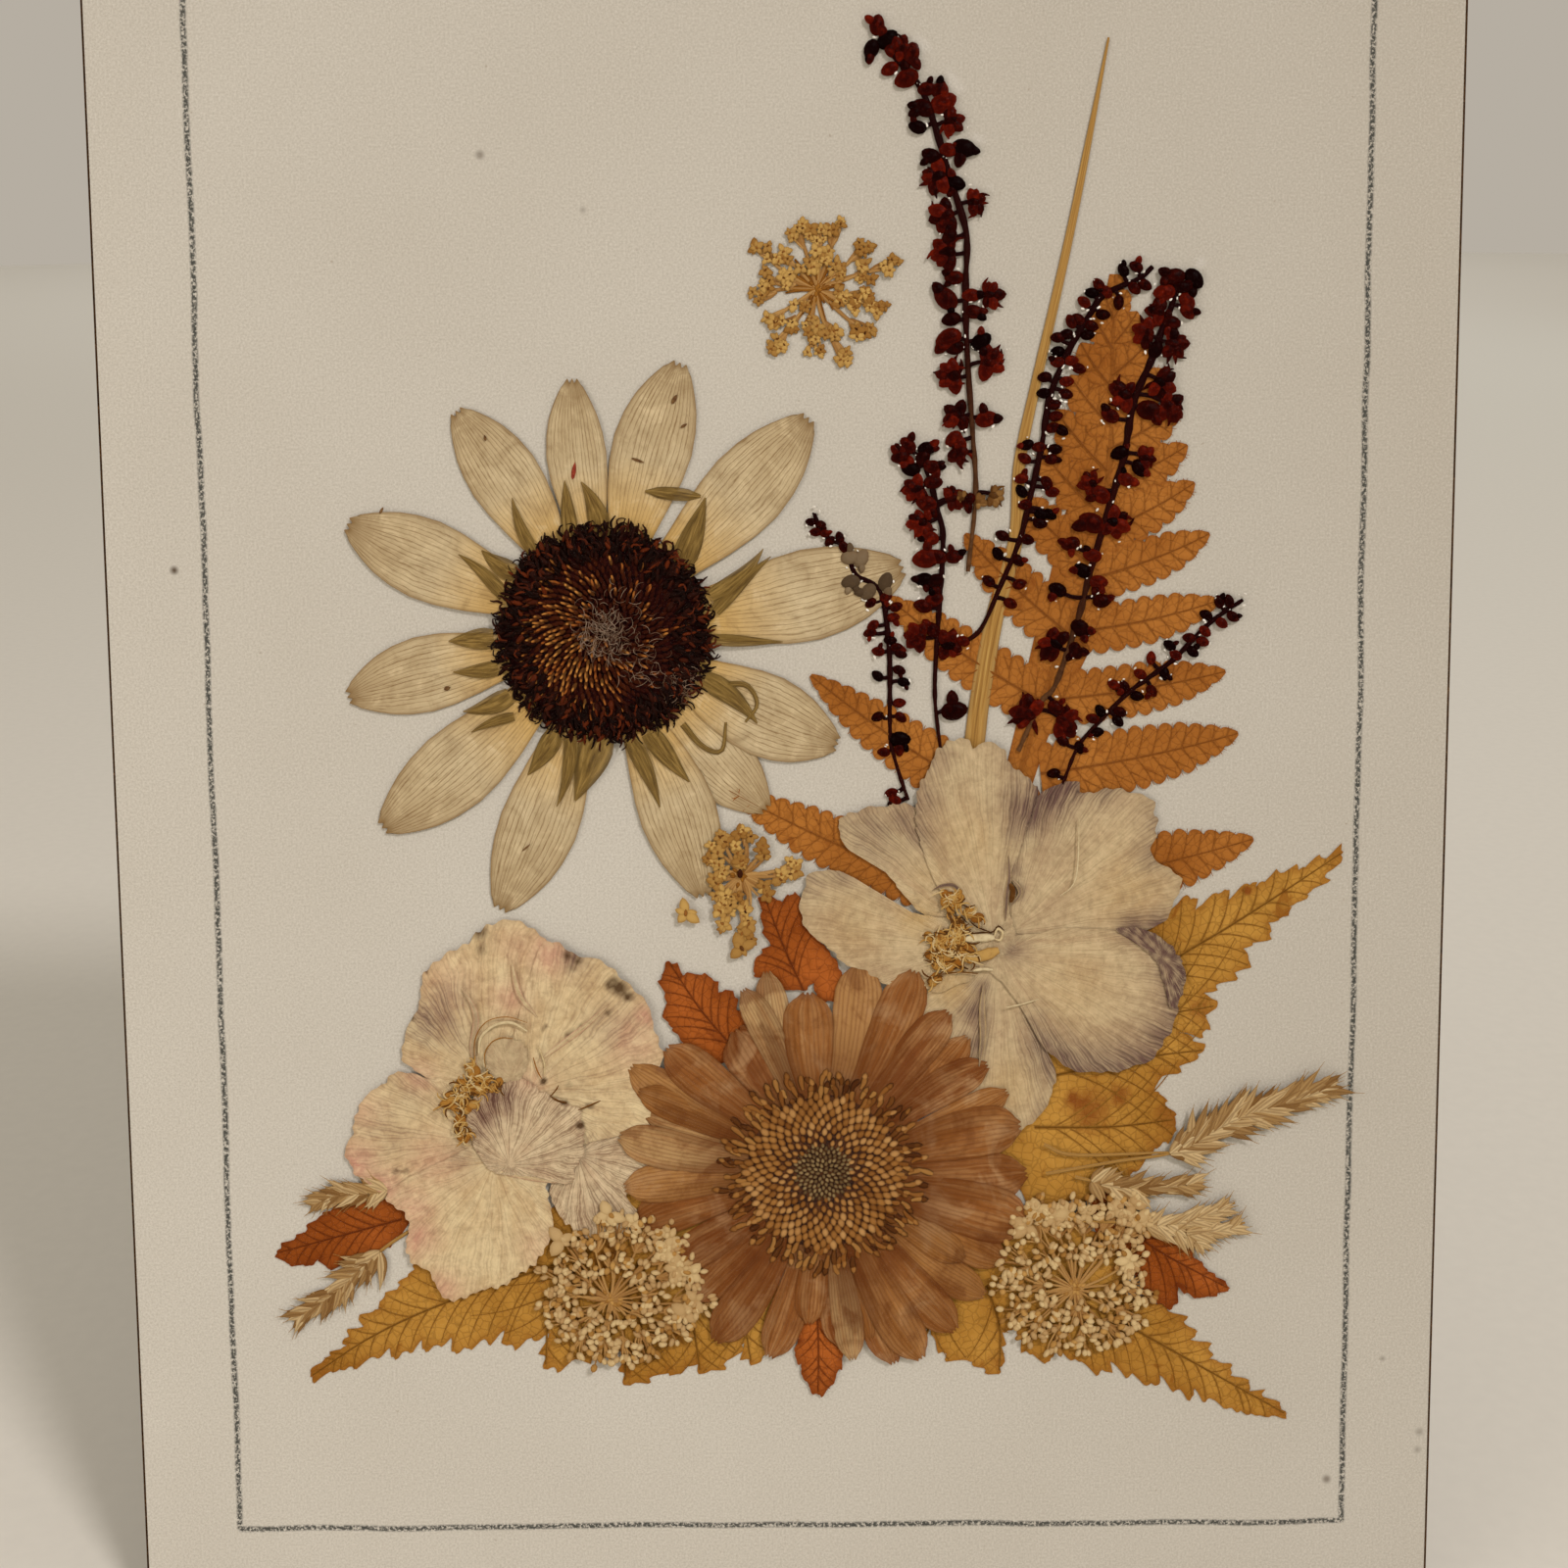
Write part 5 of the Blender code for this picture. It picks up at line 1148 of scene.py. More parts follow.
def stamens(name, tangles, curls, flaps, creases, petals, seed):
    piece, dice = Piece(), Dice(seed)
    for base, mauve, slot, outline in flaps:
        def relief(along, across, flat):
            swell = 0.96 + 0.06 * np.sin(pi * along)
            return swell + 0.06 * folds(flat, 2.2, seed) + 0.03 * folds(flat, 1.1, seed)

        piece.fan(np.array(base), outline, relief, 80, 14, 0.2, seed, tone=0.6, slot=slot,
                  ink=lambda flat: mauve * (0.9 + 0.5 * folds(flat, 1.6, seed)))
    for width, mauve, brown, route in creases:
        piece.strip(curve(route, 40), (0.1, 0.8, 1, 0.8, 0.1), 0.9, 0.06, 9, mauve, width, spot=brown,
                    tone=0.4, slot=PETAL)
    for x, z, spread, count in tangles:
        for _ in range(count):
            place = np.array((x, z)) + dice.normal(0, spread * 0.42, 2)
            heading = facing(dice(0, tau))
            size = dice(0.8, 1.5)
            piece.bead(place, heading, size * 1.3, size, 0.12, 1.04, 12, 0, 0.1, tone=dice(0.2, 0.65))
            for _ in range(2):
                curl = dice.sway(1.9)
                steps = [place + dice.normal(0, 0.35, 2)]
                for k in range(5):
                    steps.append(steps[-1] + turned(heading, curl * k / 3) * dice(0.25, 0.45))
                lift = 1.2 + np.linspace(0, 1, 12) * dice(-0.05, 0.08)
                piece.strip(curve(steps, 12), (0.12, 0.24, 0.24, 0.12), lift, 0.05,
                            tone=(0.05, 0.6, 0.75, 0.9)[dice.integers(0, 4)])
    for width, tone, route in curls:
        piece.strip(curve(route, 30), (0.5, 1, 0.9, 1, 0.5), 1.1, 0.1, 7, wide=width, tone=tone)
    piece.make(f"{name}_delphinium_stamens_pressed", [stamen_look(), *petals], "stamen",
               f"{name}_delphinium_stamens")


def delphiniums():
    cream = fan_look("cream_delphinium_petal", (
        "#CDB891", "#B69C7A", "#8C7454", "#948062", "#C6A468", "#6C524A", "#5A3A22"), 6, 24, 0.25)
    pink = fan_look("pink_delphinium_petal", (
        "#DECA9F", "#CAAF84", "#8E6C50", "#AC8C6A", "#CA8C7C", "#6A4848", "#442A12"), 4, 16, 0.3, 0.62)
    veined = fan_look("pink_delphinium_veined", (
        "#DAC6A2", "#C8AE8C", "#6E4E34", "#96745A", "#C08C76", "#643834", "#442A12"), 4, 12, 0.62)
    delphinium("cream", CREAM, stain(CREAM_MAUVE, 1.35), stain(CREAM_WARM), 0, cream)
    delphinium("pink", PINK, stain(PINK_MAUVE, 1.25), stain(PINK_BLUSH), stain(PINK_SPOTS), pink,
               ("folded", "lower_right"), veined)
    stamens("cream", CREAM_TANGLES, CREAM_CURLS, CREAM_FLAPS, CREAM_FOLDS, [cream], 23)
    stamens("pink", PINK_TANGLES, PINK_CURLS, PINK_FLAPS, PINK_FOLDS, [pink, cream], 29)


# Leaves

LEAF_VEINS = {  # node: main veins, from the leaf's base
    "maple_leaf_left": (((-30, 52), (-47, 46), (-57, 41.4), (-65.6, 35.8)), ((-26, 54), (-32, 46),
        (-33.2, 37.2)), ((-20, 52), (-22, 44), (-22.2, 34.8)), ((-6, 50), (-5.6, 44), (-4.7, 37.4)),
        ((-12, 50), (-12.6, 44), (-11.8, 36.2))),
    "maple_leaf_right": (((44, 86), (53.5, 93.5), (60, 97.5), (67, 102), (75.6, 107.8)), ((37, 77.5),
        (50, 80), (57.3, 80.9)), ((34.5, 70.3), (45, 70.3), (53.4, 71.2)), ((40, 82), (50, 85.4),
        (58.8, 87))),
    "maple_leaf_lower_right": (((36, 48), (45, 43.5), (57, 36.6), (69.4, 29.4)), ((28, 48), (29.8, 42),
        (29.8, 35.8)), ((22, 48), (20.4, 43), (18.4, 38))),
    "red_leaf_left": (((-52.6, 58), (-60, 56), (-69.6, 53.4)),),
    "red_leaf_centre": (((-6, 81), (-11, 87), (-15.1, 93.4)),),
    "lobed_leaf_centre": (((3, 89.6), (0.6, 95), (-2.2, 102.4)),),
    "lobed_leaf_bottom": (((4.6, 44), (4.7, 38), (4.6, 33)),),
    "red_leaf_right": (((45, 58), (52, 52.6), (61.2, 47.5)),),
}
LEAF_PATCHES = (  # x, z, radius, strength
    (42, 72.6, 3.6, 0.8), (40, 74, 1.6, 1), (63.2, 102.7, 0.5, 1.6), (52.6, 71.4, 2.6, 0.6),
    (56.8, 86.4, 2.2, 0.7), (46, 74.6, 2, 0.8), (-24, 52, 4, 0.6), (-33, 50, 3, 0.4), (-65, 36.2, 2.6, 0.5),
    (-33.2, 38, 2, 0.5), (-22.2, 36, 2, 0.45), (29.6, 37, 2.2, 0.5), (68.6, 29.8, 2.4, 0.5),
    (75, 107.4, 2.4, 0.4), (50.5, 68, 2.6, 0.45), (51.5, 77.5, 2.2, 0.4),
)
LEAF_LEVELS = {
    "maple": 0.1,
    "red_leaf_left": 0.12,
    "red": 0.3,
    "lobed": 0.34,
}
SIDE_VEIN_ANGLE = radians(42)
SIDE_VEIN_LONGEST = 14


def leaf_look(name, pale, deep, vein, stained):
    look = Look(name, 0.6)
    fine = look.noise(900, 5, roughness=0.65)
    net = look.cells(850)
    look.base(pale)
    look.coat(look.noise(70, 3, distortion=0.5).span(0.38, 0.66), deep)
    look.coat(fine.span(0.45, 0.75, 0, 0.5), deep)
    look.coat(net.span(0, 0.09, 0.35, 0), vein)
    look.coat(look.noise(260, 4, distortion=1).span(0.63, 0.72, 0, 0.7), stained)
    look.coat((look.spot + fine * 0.7).span(0.6, 1.2, 0, 0.85), "#7E3E14")
    look.coat(look.edge * 0.55, stained)
    look.coat(look.ink, vein)
    return look.bump(fine * 0.5 + net.span(0, 0.12, 0, 0.5), 0.6, 0.1)


def march(start, heading, outline):
    """How far a side vein can run before it leaves the leaf."""
    steps = np.arange(0.2, SIDE_VEIN_LONGEST, 0.4)
    outside = ~is_inside(start + heading * steps[:, None], outline)
    return steps[outside.argmax()] if outside.any() else SIDE_VEIN_LONGEST


def side_veins(piece, main, outline, rise, spacing, dice):
    """Veins that leave a main vein on both sides and stop short of the leaf's edge."""
    count = int(length_of(main) / spacing)
    last = len(main) - 1
    for i in range(1, count):
        spot = main[int((i + dice.sway(0.15)) / count * last)]
        ahead = unit(main[min(int(i / count * last) + 2, last)] - spot)
        for side in (1, -1):
            heading = turned(ahead, side * SIDE_VEIN_ANGLE)
            reach = march(spot, heading, outline) * 0.93
            if reach > 0.8:
                piece.hair(spot, heading * reach, 7, -side * 0.06, (1, 0.35), rise, 0.02, ink=0.8, wide=0.26,
                           tone=0.5)


def serrated(outline, base, pitch, depth):
    """An outline with teeth that point away from the leaf's base, its own corners kept."""
    points, travelled = [], 0
    for corner, step in zip(outline, np.roll(outline, -1, 0) - outline):
        length = np.linalg.norm(step)
        heading = step / length
        outward = np.array((heading[1], -heading[0]))
        onward = np.sign(heading @ (corner + step / 2 - base))
        for at in np.arange(0, length, pitch / 6):
            tooth = depth * (1 - abs((travelled + at) / pitch % 1 * 2 - 1))
            tooth *= 0.75 + 0.25 * sin(travelled + at * 1.7)
            fade = min(at, length - at, pitch / 3) / (pitch / 3)
            points.append(corner + heading * (at + onward * tooth * fade) + outward * tooth * fade)
        travelled += length
    return np.array(points)


def leaves():
    ochre = leaf_look("ochre_leaf", "#C29040", "#A6742C", "#583608", "#8A5218")
    red = leaf_look("red_leaf", "#B46228", "#8C4614", "#4E1E08", "#662A0C")
    dice = Dice(31)
    for node, mains in LEAF_VEINS.items():
        large = node.startswith("maple")
        pitch, depth, spacing, wide = (3, 1.3, 2.6, 1) if large else (2.2, 0.7, 1.8, 0.7)
        outline = serrated(outline_of(node), np.array(mains[0][0]), pitch, depth)
        level = next(value for start, value in LEAF_LEVELS.items() if node.startswith(start))

        def relief(flat, far):
            return level + 0.05 + 0.05 * folds(flat, 9, 2) * (1 - np.exp(-far))

        piece = Piece()
        piece.membrane(outline, relief, tone=0.5, spot=stain(LEAF_PATCHES))
        for route in mains:
            main = curve(route, 30)
            piece.strip(main, (0.55, 0.4, 0.18), level + 0.13, 0.06, 5, 0.9, wide, tone=0.5)
            side_veins(piece, main, outline, level + 0.12, spacing, dice)
        piece.make(f"{node}_pressed", [ochre if large else red], "ochre_leaf" if large else "red_leaf", node)


# Fern

FERN_STALK = (
    (44.6, 184.6), (44.2, 175), (44.1, 165), (43.6, 157), (41.5, 147), (38, 137), (34, 125), (30, 110),
    (28, 100),
)
FERN_PINNAE = (  # base x, base z, tip x, tip z, width, bow
    (31, 103, 63.8, 109.9, 11, -0.02), (35, 119, 61.5, 124.2, 9.8, -0.02),
    (37.5, 129, 59.7, 132.5, 8.2, -0.02), (39.5, 138, 58.7, 142, 7.4, -0.03),
    (41.5, 145, 57.3, 150.8, 7.2, -0.03), (42.5, 151, 55.2, 157.5, 7.2, -0.03),
    (43.2, 157, 54.2, 162.4, 6.8, -0.03), (43.8, 162, 53.1, 167.4, 6.8, -0.03),
    (44, 167, 51.4, 172.2, 6.4, -0.03), (44.1, 171.5, 49.2, 176.2, 5.8, -0.03),
    (44.2, 175.5, 47.4, 179.8, 4.6, -0.03), (44.3, 179, 46, 182.6, 3.2, -0.03),
    (31, 101, -6.9, 117, 9.6, 0.03), (35.5, 112, 4.2, 132.4, 9.2, 0.03),
    (38.5, 127, 14.4, 142.8, 8.6, 0.03), (41, 136, 24.8, 151, 8.4, 0.03),
    (42.6, 146, 31.5, 156.5, 7.4, 0.03), (43.4, 153, 34.6, 162.4, 7.2, 0.03),
    (43.8, 159, 36.8, 167.2, 6.8, 0.03), (44, 165, 38.6, 171.6, 6.2, 0.03),
    (44.1, 170, 40, 175.8, 5.6, 0.03), (44.2, 175, 41.4, 180.2, 4.6, 0.03),
    (44.3, 179, 42.8, 183, 3.2, 0.03),
)
FERN_LOBE = 2.1  # length of a lobe
FERN_ROWS = 8  # rows of points in a lobe
FERN_TAPER = (  # place along a pinna, and share of its width
    (0, 0.85), (0.12, 1), (0.5, 0.97), (0.72, 0.8), (0.87, 0.5), (0.95, 0.28), (1, 0.08),
)


def fern():
    piece, dice = Piece(), Dice(37)
    stalk = curve(FERN_STALK, 60)
    piece.strip(stalk, (1.8, 5.5, 9, 10, 7.5, 4.5, 3.5, 3), 0.1, 0.06, 9, tone=0.5)
    for index, (base_x, base_z, tip_x, tip_z, width, bow) in enumerate(FERN_PINNAE):
        base, tip = np.array((base_x, base_z)), np.array((tip_x, tip_z))
        lobes = max(round(np.linalg.norm(tip - base) / FERN_LOBE), 3)
        rows = lobes * FERN_ROWS + 1
        t = np.linspace(0, 1, rows)
        scallop = 0.7 + 0.22 * np.abs(np.sin(pi * t * lobes)) ** 0.6
        taper = np.interp(t, *zip(*FERN_TAPER))
        line = straight(base, tip, rows, bow)
        level = 0.14 + 0.05 * (index % 2)

        def relief(along, across, flat):
            cushion = 0.05 * np.abs(np.sin(pi * along * lobes)) * np.abs(across)
            return level + 0.03 + cushion + 0.03 * folds(flat, 8, index)

        piece.blade(line, list(zip(t, scallop * taper)), width, relief, 0, 11, tone=dice())
        piece.strip(line, (0.45, 0.3, 0.12), level + 0.12, 0.05, 3, 0.9, tone=0.5)
        sides = side_of(line)
        heading = unit(line[-1] - line[0])
        for lobe in range(lobes):
            row = min(lobe * FERN_ROWS + 2, rows - 2)
            for side in (1, -1):
                reach = width / 2 * taper[row] * 0.86
                outward = sides[row] * side * reach
                vein = straight(line[row], line[row] + outward + heading * reach * 0.42, 6, -side * 0.05)
                piece.strip(vein, (0.2, 0.08), level + 0.12, 0.02, 3, 0.6, tone=0.5)
                piece.hair(vein[2], outward * 0.42 + heading * reach * 0.55, 4, 0, (0.13, 0.06),
                           level + 0.115, 0.02, ink=0.5, tone=0.5)
    piece.strip(stalk, (0.4, 0.6, 0.7, 0.8), 0.26, 0.08, 5, 0.5, tone=0.5)
    look = leaf_look("fern_leaf", "#B47432", "#9A5C22", "#653610", "#844818")
    piece.make("fern_frond_pressed", [look], "fern", "fern_frond")


# Umbels

UMBEL_TOP = (  # centre and clusters
    (5.3, 183), ((-1.8, 187.8), (-1.3, 184.3), (-2, 182.6), (-0.6, 179.3), (0, 175.8), (1.5, 178.2),
    (4.7, 175.5), (7, 177), (8.3, 174.2), (11.3, 177.5), (13.3, 181), (11.3, 182.2), (12, 185.3),
    (14.8, 186), (11.3, 188), (8, 190.5), (5.5, 190), (3, 190.3), (1.2, 187.3), (6.2, 187.3), (3.2, 181.2),
    (1.5, 184), (4.2, 186.1), (7.8, 185.2), (9.8, 181), (8.2, 182.2), (4.4, 178.4)),
)
UMBEL_CENTRE = (
    (-5.3, 105.5), ((-7.9, 110.7), (-9.1, 109), (-6.2, 109.3), (-9.6, 107), (-8, 106.4), (-8.7, 104.8),
    (-8.3, 102.4), (-7.2, 101), (-8.6, 100.6), (-7.8, 98.4), (-5, 100.7), (-5.2, 98.8), (-4.9, 96.8),
    (-4.6, 111), (-2.3, 108.8), (0.6, 105.5), (2, 106.8), (-5.9, 107.3), (-6.6, 103), (-2.4, 103.4)),
)
UMBEL_LEFT = (
    (-24, 46.5), ((-15.5, 55.3), (-16, 53.3), (-15, 50.8), (-13, 50.3), (-12, 46.3), (-13.8, 44.5),
    (-15, 42), (-18.5, 40), (-22, 39.2), (-25.6, 39), (-29, 40.2), (-31, 43), (-32, 46.5), (-31.6, 50.2),
    (-29.4, 53.6), (-26.4, 55.8), (-22.6, 56.6), (-19.2, 55.8), (-19.5, 50.5), (-27.8, 49.6), (-27.6, 43.4),
    (-20, 44), (-23.5, 52.2), (-17.6, 47.2), (-30, 47.6), (-24.2, 42.2)),
)
UMBEL_RIGHT = (
    (40.2, 47.5), ((33.5, 56.5), (34.7, 58.7), (37, 57.3), (39, 58.5), (41.3, 58.2), (45.3, 58.6),
    (48, 59.3), (48.8, 57), (47.8, 51.5), (49.4, 47.6), (48, 43.6), (45.4, 41.4), (41.6, 40.2),
    (37.6, 40.4), (34, 41.8), (31.6, 44.6), (30.8, 48), (31.4, 52), (36.2, 52.4), (44.4, 53.6),
    (44.6, 46.4), (36.2, 44.8), (40.4, 53.4), (40.4, 43.6), (34.4, 48.4), (46.6, 55.2)),
)
UMBELS = {  # node: umbel, level, florets in a cluster, cluster radius, floret radius
    "umbel_top": (UMBEL_TOP, 0.12, 5, 1.2, 0.7),
    "umbel_centre": (UMBEL_CENTRE, 0.5, 3, 0.9, 0.82),
    "umbel_lower_left": (UMBEL_LEFT, 0.62, 19, 2.4, 0.54),
    "umbel_lower_right": (UMBEL_RIGHT, 0.6, 19, 2.4, 0.54),
}
LARGE_FLORETS = {
    "umbel_centre": ((-12.9, 100.4), (-5.4, 95.6)),
    "umbel_lower_left": ((-15.5, 55.4), (-16.4, 53.2), (-14.8, 51), (-12.8, 50.2), (-12.2, 46.4),
        (-20.4, 57.6), (-13.6, 44.4), (-30.6, 55), (-24, 58.6)),
    "umbel_lower_right": ((33.4, 56.6), (34.8, 58.7), (37.2, 57.4), (39.2, 58.6), (41.6, 58.2),
        (45.4, 58.6), (48, 59.4), (48.8, 57), (47.6, 51.6)),
}
TAN, STALK, EYE = 1, 2, 3  # looks after the palest
SHORT_RAYS = 30  # at the centre of each umbel
HUB_BEADS = 12


def floret_look(name, dark, light, rim, share=0.45):
    return toned_look(name, 0.75, {0.1: dark, 0.9: light}, share, rim)


def umbel_looks():
    """Pale, tan and stalk looks for the lower umbels, and golden ones for the two upper."""
    stalk = floret_look("umbel_stalk", "#946838", "#BC9258", "#74501F")
    eye = floret_look("umbel_eye", "#38180A", "#94602A", "#4A2810")
    return ([floret_look("umbel_floret_pale", "#B49060", "#D6BC8A", "#8E6A38"),
             floret_look("umbel_floret_tan", "#96682E", "#C09454", "#74501F"), stalk, eye],
            [floret_look("umbel_floret_gold", "#9A6E34", "#C8A25C", "#764C1C", 0.5),
             floret_look("umbel_floret_brown", "#7A4A18", "#A06C2A", "#5E3A12", 0.8), stalk, eye])


def blossom(piece, centre, radius, rise, dice, petals=5, **marks):
    """A small open flower with broad round petals, round a brown eye if it has all five."""
    start = dice(0, tau)
    for i in range(petals):
        heading = facing(start + tau * i / petals + dice.sway(0.45))
        size = radius * dice(0.65, 1.25)
        piece.bead(centre + heading * size * 0.56, heading, size * 1.15, size * dice(0.8, 1.1), 0.14,
                   rise + 0.05 * (i % 2), 10, 0, **marks)
    if petals == 5:
        piece.bead(centre, facing(start), radius * 0.6, radius * 0.36, 0.12, rise + 0.12, 7, EYE,
                   tone=dice() ** 0.5)


def umbels():
    pale_looks, gold_looks = umbel_looks()
    for seed, (node, ((centre, clusters), level, count, spread, size)) in enumerate(UMBELS.items()):
        piece, dice = Piece(), Dice(41 + seed)
        lower = "lower" in node
        centre = np.array(centre)
        ray = 0.42 if lower else 0.66
        for cluster in clusters:
            reach = np.array(cluster) - centre
            inner = centre + reach * 0.72
            piece.hair(centre, reach, 12, dice.sway(0.06), (0.9, 0.8, 0.7), level, 0.14, slot=STALK, wide=ray,
                       tone=dice(0.3, 0.9))
            for _ in range(count):
                turn, far = dice(0, tau), spread * dice(0.1, 1) ** 0.6
                spot = polar(cluster, far, turn)
                piece.strip(straight(inner, spot, 4, dice.sway(0.1)), (0.7, 0.5), level + 0.05, 0.05, 3,
                            slot=STALK, wide=ray, tone=dice())
                lift = level + dice(0.05, 0.3)
                if lower:
                    piece.bead(spot, facing(turn), size * dice(1.6, 2.5), size * dice(1.3, 1.8), 0.35, lift,
                               9, TAN if dice() < 0.2 else 0, 0.1, tone=dice(0.1, 1))
                else:
                    blossom(piece, spot, size * dice(0.8, 1.2), lift, dice, tone=dice())
        for _ in range(SHORT_RAYS):
            turn, far = dice(0, tau), dice(1.2, 5)
            piece.hair(centre, far * facing(turn), 5, dice.sway(0.1), (0.8, 0.7, 0.4), level + 0.02, 0.12,
                       slot=TAN if node == "umbel_top" else STALK, wide=ray, tone=dice())
        for _ in range(HUB_BEADS):
            turn = dice(0, tau)
            piece.bead(polar(centre, dice(0, 1.4), turn), facing(turn), 0.8, 0.6, 0.25, level, slot=TAN,
                       tone=dice(0.2, 0.9))
        if node == "umbel_centre":
            piece.bead(centre + (-0.2, 0.2), (0, 1), 1.1, 0.8, 0.3, level + 0.4, 10, EYE)
        for place in LARGE_FLORETS.get(node, ()):
            blossom(piece, np.array(place), dice(1.35, 1.75), level + 0.3, dice, 4 if lower else 5,
                    tone=dice(0.2, 0.9))
        piece.make(f"{node}_florets", pale_looks if lower else gold_looks, "umbel", node)


# Seed spikes

